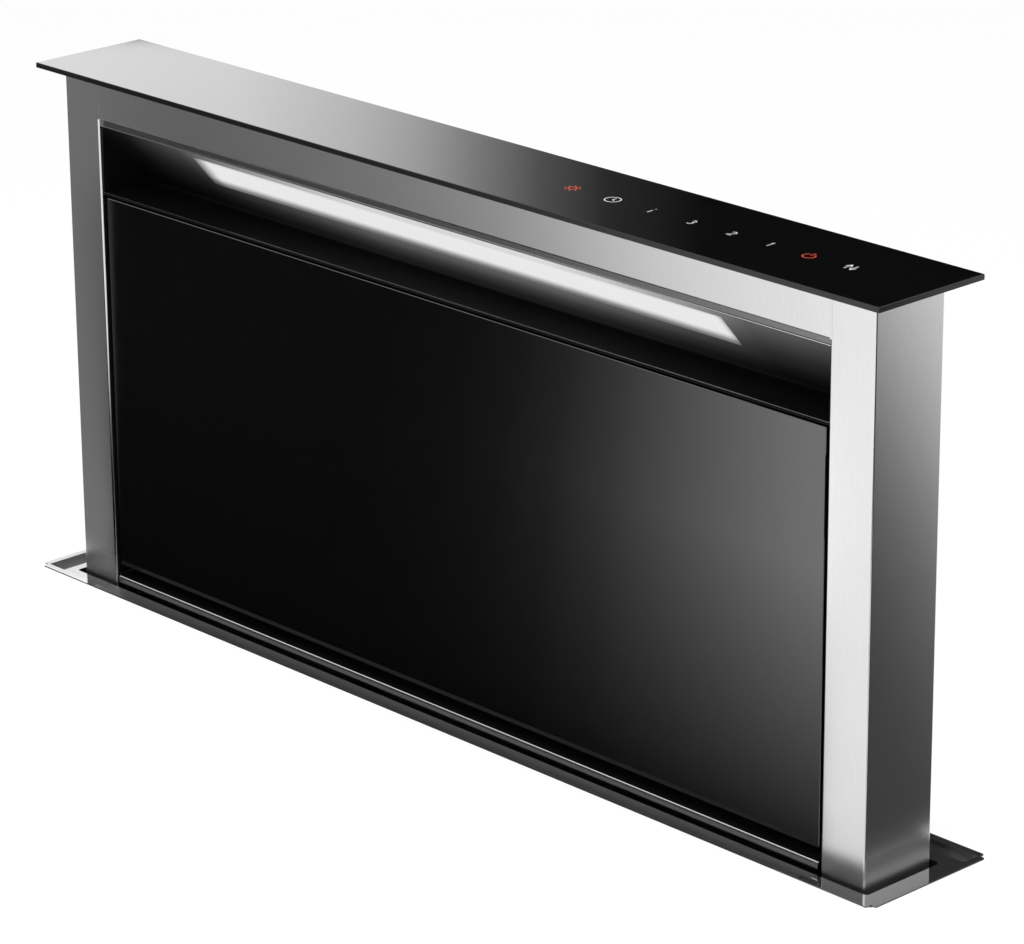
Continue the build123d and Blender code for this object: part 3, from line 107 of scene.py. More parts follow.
class Nodes:
    """Short calls for building the node tree of one material, or of the world."""

    def __init__(self, name, world=False):
        self.owner = bpy.data.worlds.new(name) if world else bpy.data.materials.new(name)
        self.owner.use_nodes = True
        self.tree = self.owner.node_tree
        self.tree.nodes.clear()
        self.output = self.add("ShaderNodeOutputWorld" if world else "ShaderNodeOutputMaterial")

    def add(self, kind, **inputs):
        node = self.tree.nodes.new(kind)
        for key, value in inputs.items():
            self.put(node, key.replace("_", " "), value)
        return node

    def put(self, node, socket, value):
        target = node.inputs[socket]
        if isinstance(value, bpy.types.NodeSocket):
            self.tree.links.new(value, target)
        else:
            target.default_value = value

    def math(self, operation, a, b=0.0, clamp=False):
        node = self.add("ShaderNodeMath")
        node.operation = operation
        node.use_clamp = clamp
        self.put(node, 0, a)
        self.put(node, 1, b)
        return node.outputs[0]

    def blend(self, a, share, b):
        """A share of a, and the rest of b."""
        return self.math(
            "ADD", self.math("MULTIPLY", a, share), self.math("MULTIPLY", b, 1.0 - share))

    def own(self, output="Object"):
        """The place, or the Normal, in the object's own axes."""
        return self.add("ShaderNodeTexCoord").outputs[output]

    def coords(self, scale=(1, 1, 1)):
        """The place in the object's own axes, stretched."""
        return self.add("ShaderNodeMapping", Vector=self.own(), Scale=scale).outputs[0]

    def parts(self, vector):
        """The X, Y and Z of a vector."""
        return self.add("ShaderNodeSeparateXYZ", Vector=vector).outputs

    def noise(self, scale, stretch=(1, 1, 1), detail=3.0, rough=0.55):
        node = self.add("ShaderNodeTexNoise", Scale=scale, Detail=detail, Roughness=rough)
        self.put(node, "Vector", self.coords(stretch))
        return node.outputs["Fac"]

    def ramp(self, value, stops):
        """A colour that follows (place, colour) stops."""
        node = self.add("ShaderNodeValToRGB", Fac=value)
        band = node.color_ramp
        while len(band.elements) < len(stops):
            band.elements.new(0.5)
        for element, (place, colour) in zip(band.elements, stops):
            element.position = place
            element.color = (*colour, 1.0)
        return node.outputs["Color"]

    def shades(self, value, colour, dark, light, low=0.3, high=0.7):
        """The colour times dark to times light, as value goes from low to high."""
        return self.ramp(value, [(low, tint(colour, dark)), (high, tint(colour, light))])

    def span(self, value, low, high):
        """Value from 0..1 to low..high."""
        node = self.add("ShaderNodeMapRange", Value=value)
        self.put(node, "To Min", low)
        self.put(node, "To Max", high)
        return node.outputs[0]

    def along(self, direction, low, high):
        """0..1 from low to high along a direction of the object's own axes."""
        dot = self.add("ShaderNodeVectorMath")
        dot.operation = "DOT_PRODUCT"
        self.put(dot, 0, self.own())
        self.put(dot, 1, direction)
        share = self.add("ShaderNodeMapRange", Value=dot.outputs["Value"])
        self.put(share, "From Min", low)
        self.put(share, "From Max", high)
        return share.outputs[0]

    def levels(self, direction, stops):
        """A grey level that follows (place, level) stops along a direction."""
        low, high = stops[0][0], stops[-1][0]
        return self.ramp(
            self.along(direction, low, high),
            [((where - low) / (high - low), grey(level)) for where, level in stops],
        )

    def bump(self, height, strength, distance):
        return self.add(
            "ShaderNodeBump", Strength=strength, Distance=distance, Height=height).outputs[0]

    def seen(self):
        """1 for rays from the camera and those that metal and glass mirror or let through."""
        path = self.add("ShaderNodeLightPath").outputs
        direct = self.math("ADD", path["Is Camera Ray"], path["Is Glossy Ray"])
        return self.math("ADD", direct, path["Is Transmission Ray"], clamp=True)

    def show(self, shader):
        """Sends a shader to the output, and gives back the finished material or world."""
        self.tree.links.new(shader.outputs[0], self.output.inputs[0])
        return self.owner

    def surface(self, **inputs):
        """The finished material, with a Principled shader of these inputs."""
        return self.show(self.add("ShaderNodeBsdfPrincipled", **inputs))


# ---------------------------------------------------------------- materials
RUBBED_HEIGHT = 50.0 * MM


def steel(name, colour, rough, grain=(1, 1, 1), grain_scale=900.0, depth=0.04, spread=0.05,
          foot=0.0):
    """Satin or brushed metal: streaks along the grain, faint cloudiness and a fine bump.

    foot dulls it further towards worktop level, where the tray's walls rub it.
    """
    m = Nodes(name)
    streaks = m.noise(grain_scale, grain, detail=4.0)
    mixed = m.blend(streaks, 0.6, m.noise(9.0, detail=2.0))
    roughness = m.span(mixed, rough - spread, rough + spread)
    if foot:
        rubbed = m.math("MULTIPLY", m.along((0, 0, 1), RUBBED_HEIGHT, 0.0), foot)
        roughness = m.math("ADD", roughness, rubbed)
    return m.surface(
        Base_Color=m.shades(mixed, colour, 0.95 - spread, 1.02 + spread),
        Metallic=1.0,
        Roughness=roughness,
        Normal=m.bump(streaks, depth, GRAIN_DEPTH),
    )


def brushed(name, foot=0.0):
    """The brushed steel of the tower's outside, its grain running upright."""
    return steel(name, grey(0.78), 0.14, BRUSHED, BRUSHED_SCALE, 0.003, 0.015, foot)


def formed_steel(name, flats, walls, rough, front, half, dulled):
    """Polished sheet, with the short upright walls duller, and darker than the flats as painted
    shade.

    Its front strip, nearer than front and within half of the middle, is rougher and darker, by
    dulled.
    """
    m = Nodes(name)
    place = m.parts(m.own())
    nearer = m.math("LESS_THAN", place["Y"], front)
    within = m.math("LESS_THAN", m.math("ABSOLUTE", place["X"]), half)
    front_strip_change = m.math("MULTIPLY", m.math("MULTIPLY", nearer, within), dulled)
    streaks = m.noise(260.0, (0.5, 12, 12), detail=4.0)
    # how level a face is: the upright walls take the darker colour, as painted shade
    level = m.math("ABSOLUTE", m.parts(m.own("Normal"))["Z"])
    tone = m.math("SUBTRACT", m.blend(level, 0.8, streaks), front_strip_change)
    return m.surface(
        Base_Color=m.ramp(tone, [
            (0.05, tint(walls, 0.9)), (0.2, walls), (0.85, flats), (0.95, tint(flats, 1.06)),
        ]),
        Metallic=0.97,
        Roughness=m.math("ADD", m.span(level, rough + 0.15, rough), front_strip_change),
        Normal=m.bump(streaks, 0.003, GRAIN_DEPTH),
    )


def black_glass(name, base=0.0022, bend=1.52, gloss=0.5):
    """Glass with a black back: nearly black, with a clean reflection and the faintest dust."""
    m = Nodes(name)
    dust = m.noise(60.0, detail=6.0, rough=0.7)
    return m.surface(
        Base_Color=m.shades(dust, grey(base), 1.0, 1.6, 0.4, 0.75),
        Roughness=m.span(dust, 0.02, 0.05),
        IOR=bend,
        Specular_IOR_Level=gloss,
    )


def plastic(name, colour, rough, pebble=2500.0, depth=0.1, gloss=0.5):
    """Moulded plastic, paint or rubber: a pebbled face with slightly uneven colour."""
    m = Nodes(name)
    grain = m.noise(pebble, detail=2.0)
    return m.surface(
        Base_Color=m.shades(m.noise(14.0, detail=3.0), colour, 0.88, 1.12),
        Roughness=m.span(grain, rough - 0.06, rough + 0.06),
        Specular_IOR_Level=gloss,
        Normal=m.bump(grain, depth, PEBBLE_DEPTH),
    )


def galvanised(name, colour):
    """Zinc-coated sheet: spangle cells of slightly different shade and gloss."""
    m = Nodes(name)
    cells = m.add("ShaderNodeTexVoronoi", Scale=140.0, Vector=m.coords())
    spangle = m.add("ShaderNodeSeparateColor", Color=cells.outputs["Color"]).outputs[0]
    mixed = m.blend(spangle, 0.5, m.noise(6.0, detail=4.0))
    return m.surface(
        Base_Color=m.shades(mixed, colour, 0.86, 1.1, 0.2, 0.8),
        Metallic=0.85,
        Roughness=m.span(mixed, 0.3, 0.48),
        Normal=m.bump(spangle, 0.06, PEBBLE_DEPTH),
    )


def glowing(name, colour, strength):
    """Ink that shines evenly, with a faint haze."""
    m = Nodes(name)
    haze = m.noise(40.0, detail=2.0)
    return m.surface(
        Base_Color=(*tint(colour, 0.06), 1),
        Roughness=0.4,
        Emission_Color=(*colour, 1),
        Emission_Strength=m.span(haze, strength * 0.97, strength * 1.03),
    )


# the recess's ceiling: the way down it, the (y, z) of its front lip, and the normal to its face
SLOPE = (0.0, 0.652, -0.758)
LIP = (-0.0331, 0.3748)
LIP_AT = SLOPE[1] * LIP[0] + SLOPE[2] * LIP[1]
SLOPE_NORMAL = (0.0, SLOPE[2], -SLOPE[1])
SLOPE_AT = SLOPE_NORMAL[1] * LIP[0] + SLOPE_NORMAL[2] * LIP[1]
STRIP_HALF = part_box("light_diffuser")[1].x


def down_slope(m, stops):
    """A grey level that follows (millimetres from the lip, level) stops down the ceiling."""
    return m.levels(SLOPE, [(LIP_AT + s * MM, level) for s, level in stops])


def lit_strip(name, strength):
    """The lamp's opal cover: even over most of its breadth, fading down its lower edge."""
    m = Nodes(name)
    haze = m.noise(40.0, detail=2.0)
    edge = down_slope(m, (
        (4.0, 0.7), (7.0, 1.0), (27.0, 1.0), (31.0, 0.62), (34.0, 0.3), (38.0, 0.13)))
    ends = m.levels((1, 0, 0), [
        (-STRIP_HALF, 0.1), (16 * MM - STRIP_HALF, 1.0), (STRIP_HALF - 5 * MM, 1.0),
        (STRIP_HALF, 0.6)])
    return m.surface(
        Base_Color=(*grey(0.06), 1.0),
        Roughness=0.35,
        Emission_Color=edge,
        Emission_Strength=m.math("MULTIPLY", m.span(haze, strength * 0.98, strength * 1.02), ends),
    )


def recess_black(name, glow):
    """Satin black paint, with a painted glow of the lamp on the slope around the strip, which the
    paint itself emits.
    """
    m = Nodes(name)
    grain = m.noise(1800.0, detail=2.0)
    down = down_slope(m, (
        (2.0, 1.0), (12.0, 0.67), (22.0, 0.43), (30.0, 0.27), (37.0, 0.18), (45.0, 0.12),
        (52.0, 0.06), (60.0, 0.028), (72.0, 0.0)))
    across = m.levels((1, 0, 0), [
        (-0.384, 0.003), (-0.36, 0.008), (-0.294, 0.08), (-0.227, 0.33), (-0.161, 0.6),
        (-0.095, 0.9), (0.105, 1.0), (0.171, 0.78), (0.237, 0.45), (0.304, 0.14), (0.384, 0.09)])
    on_slope = m.levels(SLOPE_NORMAL, [
        (SLOPE_AT - 3 * MM, 1.0), (SLOPE_AT + 1.5 * MM, 1.0), (SLOPE_AT + 4 * MM, 0.0)])
    return m.surface(
        Base_Color=m.shades(m.noise(14.0, detail=3.0), grey(0.003), 1.0, 1.5),
        Roughness=m.span(grain, 0.26, 0.36),
        Specular_IOR_Level=0.08,
        # painted glow: the black paint emits the lamp's light down and across the slope
        Emission_Color=down,
        Emission_Strength=m.math("MULTIPLY", m.math("MULTIPLY", across, on_slope), glow),
        Normal=m.bump(grain, 0.03, PEBBLE_DEPTH),
    )


WAVE_PERIOD = 0.314  # of a wave texture at scale 1


def threaded(name, colour, pitch):
    """Bright steel with a fine thread."""
    m = Nodes(name)
    streaks = m.noise(300.0, (1, 1, 8), detail=3.0)
    turns = m.add("ShaderNodeTexWave", Scale=WAVE_PERIOD / pitch, Vector=m.coords())
    turns.bands_direction = "Z"
    return m.surface(
        Base_Color=m.shades(streaks, colour, 0.85, 1.08),
        Metallic=1.0,
        Roughness=m.span(streaks, 0.22, 0.34),
        Normal=m.bump(turns.outputs["Fac"], 0.6, pitch * 0.5),
    )


BRUSHED, BRUSHED_SCALE = (14, 14, 0.4), 260.0
TURNED, TURNED_SCALE = (1, 1, 30), 200.0
OPENING_HALF = 384.0 * MM
# where the tray's rougher, darker front strip begins
TRAY_STRIP_FRONT = -40.5 * MM

MATERIAL = {
    "black_glass": black_glass("black_glass"),
    "pad_foam": plastic("pad_foam", grey(0.02), 0.85, 1200.0, 0.4),
    "brushed_steel": brushed("brushed_steel"),
    # the tray's upright walls take the darker grey as painted shade
    "tray_steel": formed_steel(
        "tray_steel", grey(0.7), grey(0.13), 0.07, TRAY_STRIP_FRONT, OPENING_HALF, 0.3),
    "black_steel": plastic("black_steel", (0.008, 0.008, 0.009), 0.3, 1800.0, 0.03, gloss=0.2),
    "diffuser": lit_strip("diffuser", 0.77),
    "filter_mesh": steel("filter_mesh", (0.72, 0.73, 0.74), 0.35, grain_scale=500.0, depth=0.1),
    "black_plastic": plastic("black_plastic", (0.025, 0.025, 0.026), 0.5),
    "galvanised": galvanised("galvanised", (0.55, 0.57, 0.58)),
    "machined_steel": steel("machined_steel", grey(0.6), 0.25, TURNED, TURNED_SCALE),
    "nut_brass": steel("nut_brass", (0.75, 0.56, 0.28), 0.3, TURNED, TURNED_SCALE),
    "pulley_metal": steel("pulley_metal", (0.75, 0.76, 0.77), 0.28, TURNED, TURNED_SCALE),
    "belt_rubber": plastic("belt_rubber", grey(0.02), 0.75, 900.0, 0.3),
    "motor_black": plastic("motor_black", (0.03, 0.03, 0.032), 0.4, 1400.0, 0.12),
    "board_green": plastic("board_green", (0.03, 0.16, 0.07), 0.4, 700.0, 0.1),
    "driver_white": plastic("driver_white", (0.8, 0.8, 0.79), 0.5),
    "magnet": steel("magnet", (0.62, 0.61, 0.6), 0.2),
}
for entry in frame["record"]["subparts"]:
    node = NODES[entry["node"]]
    node.data.materials.clear()
    node.data.materials.append(MATERIAL[entry["material_slot"]])

# pieces whose material differs a little from their slot's
# the recess's ceiling is black paint with a painted glow of the lamp
NODES["light_housing"].data.materials[0] = recess_black("recess_black", 0.72)
for name in ("left_column", "right_column"):
    NODES[name].data.materials[0] = brushed(f"{name}_steel", foot=0.22)
NODES["front_glass"].data.materials[0] = black_glass(
    "front_glass_black", base=0.0018, bend=1.6, gloss=1.0)
for name, pitch in (("left_lift_screw", 4), ("right_lift_screw", 4), ("clamp_screws", 1)):
    NODES[name].data.materials[0] = threaded(f"{name}_thread", grey(0.62), pitch * MM)


# ---------------------------------------------------------------- mesh helpers
def mesh_from(name, build):
    """A new mesh filled by build(bm)."""
    bm = bmesh.new()
    build(bm)
    mesh = bpy.data.meshes.new(name)
    bm.to_mesh(mesh)
    bm.free()
    return mesh


def flat(corners):
    """Fills a mesh with one face."""
    return lambda bm: bm.faces.new([bm.verts.new(c) for c in corners])


def add_piece(name, build, body, slot, material=None):
    """Adds a piece filled by build(bm) on its body, in its slot's material unless one is given."""
    mesh = mesh_from(name, build)
    mesh.materials.append(material or MATERIAL[slot])
    piece = linked(name, mesh)
    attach(piece, body)


def stage_piece(name, build, material):
    """Adds a piece of the studio."""
    mesh = mesh_from(name, build)
    mesh.materials.append(material)
    piece = linked(name, mesh)
    return piece


# ---------------------------------------------------------------- floor and worktop
FLOOR_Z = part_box("support_feet")[0].z
FLOOR_REACH = 12.0
HOLE_X, HOLE_Y = 0.4497, 0.0575
# the worktop's outline: round the tray, and towards the photograph's viewpoint as far as it hides
# the housing
WORKTOP = [
    (-0.4725, 0.08), (-0.4725, -0.08), (0.2, -1.1), (1.35, -1.1), (1.35, -0.45), (0.4725, 0.08),
]
WHITE_SHARE = 0.8  # of the pale surfaces' colour that the camera and reflections see


def pale(name, tone):
    """A pale surface that shows white to the camera and in metal and glass, but keeps shadows."""
    m = Nodes(name)
    diffuse = m.add(
        "ShaderNodeBsdfDiffuse", Color=m.shades(m.noise(3.0, detail=2.0), grey(tone), 0.995, 1.0))
    glow = m.add("ShaderNodeEmission", Color=(1, 1, 1, 1), Strength=1.0)
    mix = m.add("ShaderNodeMixShader", Fac=m.math("MULTIPLY", m.seen(), WHITE_SHARE))
    m.put(mix, 1, diffuse.outputs[0])
    m.put(mix, 2, glow.outputs[0])
    return m.show(mix)


def worktop(bm):
    """A thin top with the cut-out, reaching towards the camera."""
    rim = [bm.verts.new((x, y, 0.0)) for x, y in WORKTOP]
    back_left, left, right, back_right = [
        bm.verts.new((x, y, 0.0))
        for x, y in ((-HOLE_X, HOLE_Y), (-HOLE_X, -HOLE_Y), (HOLE_X, -HOLE_Y), (HOLE_X, HOLE_Y))
    ]
    bm.faces.new([rim[0], rim[1], left, back_left])
    bm.faces.new([rim[1], rim[2], rim[3], right, left])
    bm.faces.new([rim[3], rim[4], rim[5], back_right, right])
    bm.faces.new([rim[5], rim[0], back_left, back_right])


PALE = pale("pale_top", 0.93)
top = stage_piece("stage_worktop", worktop, PALE)
top.visible_shadow = False
stage_piece("stage_floor", flat([
    (x * FLOOR_REACH, y * FLOOR_REACH, FLOOR_Z) for x, y in ((-1, -1), (1, -1), (1, 1), (-1, 1))
]), PALE)


# ---------------------------------------------------------------- reflections
def reflector(name, corners, along, stops, fade=None):
    """A studio card that only reflections see.

    Its radiance follows the stops (place, radiance) along one direction of its own, and fade
    (direction, from, to) dims it from black to full along another.
    """
    m = Nodes(name)
    peak = max(level for _, level in stops)
    colour = m.levels(along, [(where, level / peak) for where, level in stops])
    strength = m.math("MULTIPLY", m.along(*fade), peak) if fade else peak
    card = stage_piece(
        name, flat(corners), m.show(m.add("ShaderNodeEmission", Color=colour, Strength=strength)))
    card.visible_camera = False
    card.visible_diffuse = False
    card.visible_transmission = False
    card.visible_shadow = False
    card.visible_volume_scatter = False


def upright_card(name, centre, normal, half_width, low, high, stops):
    """A standing card whose gradient runs sideways."""
    side = Vector((-normal[1], normal[0])).normalized()
    start, end = [Vector(centre) + side * e for e in (-half_width, half_width)]
    corners = [(*start, low), (*end, low), (*end, high), (*start, high)]
    reflector(name, corners, (side.x, side.y, 0), stops)


# the lid mirrors the upper one, bright on the left and dark on the right; the tray the lower one
BEHIND, BEHIND_NORMAL, BEHIND_HALF = (-2.181, 2.061), (0.727, -0.687), 1.8
BEHIND_SEAM = 1.095
upright_card("card_behind", BEHIND, BEHIND_NORMAL, BEHIND_HALF, BEHIND_SEAM, 2.8, [
    (-1.8, 2.7), (-0.585, 2.62), (-0.36, 2.43), (-0.195, 1.82), (-0.11, 1.37), (-0.022, 0.77),
    (0.069, 0.31), (0.162, 0.08), (0.3, 0.005), (1.8, 0.0),
])
upright_card("card_behind_low", BEHIND, BEHIND_NORMAL, BEHIND_HALF, 0.1, BEHIND_SEAM, [
    (-1.8, 0.9), (-0.15, 0.9), (0.1, 0.02), (1.8, 0.0),
])

# the glass and the steel fronts mirror the next four, which lie just above the worktop
CARD_LIFT = 0.4 * MM
FRONT_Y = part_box("left_column")[0].y
OPENING_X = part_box("left_column")[1].x
NEAR_Y, HEADER_Y, FAR_Y = -0.0604, -0.76, -1.7
OUTER_LEFT, OUTER_RIGHT = -2.0, 1.3
# how far to the left of its mirror image a point lies, for each metre that it lies in front
SKEW = 1.058
SHIFT = SKEW * FRONT_Y
# how far the opening's edges spread in the mirror, for each metre in front
FAN_LEFT, FAN_RIGHT = 0.21, 0.137
# the bands that the glass mirrors are turned by this about this depth
TURN, PIVOT_Y = 0.1, -0.27


def floor_point(w, y):
    """The point at depth y that the front mirrors at width w."""
    return (w + SKEW * (y - FRONT_Y), y, CARD_LIFT)


def fan(side, y):
    """The point at depth y that the front mirrors beside the opening's edge on that side."""
    if side < 0:
        return floor_point(OPENING_X + FAN_LEFT * (y - FRONT_Y), y)
    return floor_point(-OPENING_X - FAN_RIGHT * (y - FRONT_Y), y)


reflector(
    "card_front",
    [fan(-1, HEADER_Y), fan(1, HEADER_Y), fan(1, NEAR_Y), fan(-1, NEAR_Y)],
    (1, TURN - SKEW, 0),
    [(w - SHIFT + TURN * PIVOT_Y, level) for w, level in (
        (-0.62, 0.01), (-0.12, 0.01), (-0.03, 0.02), (0.04, 0.045), (0.105, 0.105),
        (0.17, 0.245), (0.237, 0.49), (0.304, 0.78), (0.384, 1.16), (0.46, 1.45))],
    ((0, -1, 0), -FRONT_Y - 0.01, -FRONT_Y + 0.42),
)
reflector(
    "card_header",
    [fan(-1, FAR_Y), fan(1, FAR_Y), fan(1, HEADER_Y), fan(-1, HEADER_Y)],
    (1, -SKEW, 0),
    [(w - SHIFT, level) for w, level in (
        (-0.53, 0.145), (-0.43, 0.14), (-0.3, 0.16), (-0.2, 0.19), (-0.1, 0.22), (0.0, 0.27),
        (0.108, 0.39), (0.2, 0.57), (0.3, 0.8), (0.4, 0.92), (0.5, 1.0))],
)
reflector(
    "card_left",
    [floor_point(OUTER_LEFT, FAR_Y), fan(-1, FAR_Y), fan(-1, NEAR_Y),
     floor_point(OUTER_LEFT, NEAR_Y)],
    (1, 0, 0),
    [(-2.0, 0.2), (2.0, 0.21)],
)
reflector(
    "card_column",
    [fan(1, FAR_Y), floor_point(OUTER_RIGHT, FAR_Y), floor_point(OUTER_RIGHT, NEAR_Y),
     fan(1, NEAR_Y)],
    (0, -1, 0),
    [(0.06, 0.84), (0.15, 0.95), (0.25, 1.02), (0.6, 1.06), (1.7, 1.04)],
)

# the right end mirrors this one
RIGHT_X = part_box("worktop_tray")[1].x + 0.5 * MM
RIGHT_FAR, RIGHT_NEAR = 2.6, -0.6
reflector(
    "card_right",
    [(RIGHT_X, RIGHT_NEAR, CARD_LIFT), (RIGHT_FAR, RIGHT_NEAR, CARD_LIFT),
     (RIGHT_FAR, RIGHT_FAR, CARD_LIFT), (RIGHT_X, RIGHT_FAR, CARD_LIFT)],
    (-1, 1.21, 0),
    [(-0.45, 0.055), (-0.392, 0.062), (-0.366, 0.07), (-0.337, 0.083), (-0.307, 0.105),
     (-0.275, 0.137), (-0.24, 0.19), (-0.2, 0.28), (-0.16, 0.43), (-0.115, 0.6), (-0.08, 0.72),
     (0.1, 1.0)],
)

# edges and rims that lean upwards mirror these two
upright_card(
    "card_right_dark", (2.4, 1.85), (-0.727, -0.687), 1.5, 0.2, 2.2, [(-1.5, 0.3), (1.5, 0.31)])
upright_card("card_front_dark", (-2.0, -2.4), (0.3, 1.0), 2.6, 0.0, 3.2, [
    (-2.6, 0.22), (-0.1, 0.18), (0.1, 0.15), (0.25, 0.08), (0.4, 0.055), (2.6, 0.05),
])


# ---------------------------------------------------------------- lamps and world
def lamp(name, place, aim, size, power):
    """A soft square lamp that no reflection shows."""
    data = bpy.data.lights.new(name, "AREA")
    data.shape = "RECTANGLE"
    data.size = data.size_y = size
    data.energy = power
    light = linked(name, data)
    light.location = place
    light.rotation_euler = (Vector(aim) - Vector(place)).to_track_quat("-Z", "Y").to_euler()
    light.visible_camera = False
    light.visible_glossy = False


lamp("lamp_top", (0.3, -0.6, 3.2), (0, 0, 0.2), 3.0, 60.0)
lamp("lamp_front", (1.6, -2.6, 1.8), (0.2, 0, 0.2), 1.8, 30.0)
lamp("lamp_left", (-2.4, -1.2, 1.8), (-0.2, 0, 0.2), 1.6, 20.0)

sky = Nodes("world", world=True)
bpy.context.scene.world = sky.show(sky.add(
    "ShaderNodeBackground", Color=(1, 1, 1, 1), Strength=sky.span(sky.seen(), 0.9, 1.0)))

# ---------------------------------------------------------------- edges of the CAD pieces
WELD_GAP = 1e-5
EDGE_ANGLE = math.radians(40.0)


def soften(name, width):
    """Small rounded edges on a CAD piece, with its flat faces kept flat in the shading."""
    node = NODES[name]
    node.data.shade_smooth()
    weld = node.modifiers.new("weld", "WELD")
    weld.merge_threshold = WELD_GAP
    bevel = node.modifiers.new("bevel", "BEVEL")
    bevel.width = width
    bevel.segments = 2
    bevel.limit_method = "ANGLE"
    bevel.angle_limit = EDGE_ANGLE
    shading = node.modifiers.new("shading", "WEIGHTED_NORMAL")
    shading.mode = "FACE_AREA"
    shading.weight = 100


soften("header_panel", 0.3 * MM)
soften("worktop_tray", 0.2 * MM)

# ---------------------------------------------------------------- touch symbols on the lid
LID_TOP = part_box("lid_glass")[1].z
SYMBOL_LIFT = 0.04 * MM
LINE = 0.85
DIGIT_HALF_HEIGHT, DIGIT_HALF_WIDTH = 3.9, 2.2
WHITE_INK = glowing("symbol_white", (0.92, 0.94, 0.96), 0.75)
RED_INK = glowing("symbol_red", (0.9, 0.09, 0.03), 0.8)


def ribbon(bm, points, width, closed=False):
    """A flat stroke of even width along points, in millimetres."""
    n = len(points)
    left, right = [], []
    for i, p in enumerate(points):
        before = points[(i - 1) % n] if closed or i > 0 else p
        after = points[(i + 1) % n] if closed or i < n - 1 else p
        d1 = Vector((p[0] - before[0], p[1] - before[1]))
        d2 = Vector((after[0] - p[0], after[1] - p[1]))
        d1 = d1.normalized() if d1.length > 1e-9 else d2.normalized()
        d2 = d2.normalized() if d2.length > 1e-9 else d1
        normal = Vector((-(d1.y + d2.y), d1.x + d2.x)).normalized()
        lean = max(0.5, normal.dot(Vector((-d1.y, d1.x))))
        side = normal * (width / 2 / lean)
        left.append(bm.verts.new((p[0] + side.x, p[1] + side.y, 0)))
        right.append(bm.verts.new((p[0] - side.x, p[1] - side.y, 0)))
    for i in range(n if closed else n - 1):
        j = (i + 1) % n
        bm.faces.new([right[i], right[j], left[j], left[i]])


def polar(r, degrees):
    return r * math.cos(math.radians(degrees)), r * math.sin(math.radians(degrees))


def circle(x, y, r, n=40, start=0.0, turn=360.0):
    """Points on a circle, or on an arc of n steps."""
    points = [polar(r, start + turn * i / n) for i in range(n if turn == 360.0 else n + 1)]
    return [(x + dx, y + dy) for dx, dy in points]


def line(*points):
    """An open stroke."""
    return list(points), False


def loop(points):
    """A closed stroke."""
    return points, True


def symbol(name, x, strokes, ink):
    """Printed strokes on the lid, centred at x and read from the front, in millimetres."""
    def build(bm):
        for points, closed in strokes:
            ribbon(bm, points, LINE, closed)
        place = Matrix.Translation((x * MM, 0, LID_TOP + SYMBOL_LIFT)) @ Matrix.Scale(MM, 4)
        bmesh.ops.transform(bm, matrix=place, verts=bm.verts)
    add_piece(name, build, "tower", "diffuser", ink)


def digit(text):
    h, w = DIGIT_HALF_HEIGHT, DIGIT_HALF_WIDTH
    return {
        "1": [line((-1.2, 2.1), (0.3, h), (0.3, -h))],
        "2": [line(*circle(0, 1.8, 2.0, 16, 160, -200), (-w, -h + 0.4), (w, -h + 0.4))],
        "3": [line(*circle(0, 1.9, 1.9, 14, 140, -230)), line(*circle(0, -1.8, 2.1, 14, 90, -230))],
        "i": [line((0, 1.2), (0, -4.6)), line((0, 3.8), (0, 5.0))],
    }[text]


rays = [line(polar(4.4, 22.5 + 45 * i), polar(6.4, 22.5 + 45 * i)) for i in range(8)]
symbol("symbol_lamp", 104.8, [loop(circle(0, 0, 3.0)), *rays], RED_INK)
symbol("symbol_timer", 144.9, [
    loop(circle(0, 0, 5.9)), line((0, 3.6), (0, 0), (2.6, -1.6)),
], WHITE_INK)
symbol("symbol_boost", 182.9, digit("i"), WHITE_INK)
symbol("symbol_three", 221.7, digit("3"), WHITE_INK)
symbol("symbol_two", 259.8, digit("2"), WHITE_INK)
symbol("symbol_one", 295.3, digit("1"), WHITE_INK)
symbol("symbol_power", 331.6, [
    line(*circle(0, -1.0, 4.6, 30, 120, 300)), line((0, 6.0), (0, 0.5)),
], RED_INK)
symbol("symbol_lift", 368.5, [
    line((-5.2, 0.6), (-2.6, 4.4), (0.0, 0.6)), line((-2.6, 4.4), (-2.6, -4.4)),
    line((0.4, -0.6), (2.8, -4.4), (5.2, -0.6)), line((2.8, -4.4), (2.8, 4.4)),
], WHITE_INK)


# ---------------------------------------------------------------- trims on the tower
def bar(bm, low, high, ease=0.0):
    """A box between two corners, with its edges eased."""
    low, high = Vector(low), Vector(high)
    made = bmesh.ops.create_cube(bm, size=1.0)["verts"]
    for v in made:
        v.co = Vector([low[i] if v.co[i] < 0 else high[i] for i in range(3)])
    if ease:
        edges = [e for e in bm.edges if e.verts[0] in made]
        bmesh.ops.bevel(bm, geom=edges, offset=ease, segments=2, profile=0.5, affect="EDGES")


def trim(name, low, high, ease, slot, material=None):
    """One eased bar on the tower."""
    add_piece(name, lambda bm: bar(bm, low, high, ease), "tower", slot, material)


housing_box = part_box("light_housing")
header_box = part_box("header_panel")
rail_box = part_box("bottom_rail")
TRIM = 0.1 * MM
HEM_Z = 322.8 * MM
RAIL_TOP = 4.0 * MM
SEAM = (383.8, 385.6)
COLUMN_SHADE_STRIP = (383.3, 383.9)
# near-black plastic for strips that stand in for shade: painted shade
SHADE_BLACK = plastic("painted_shade_black", grey(0.003), 0.8, gloss=0.05)

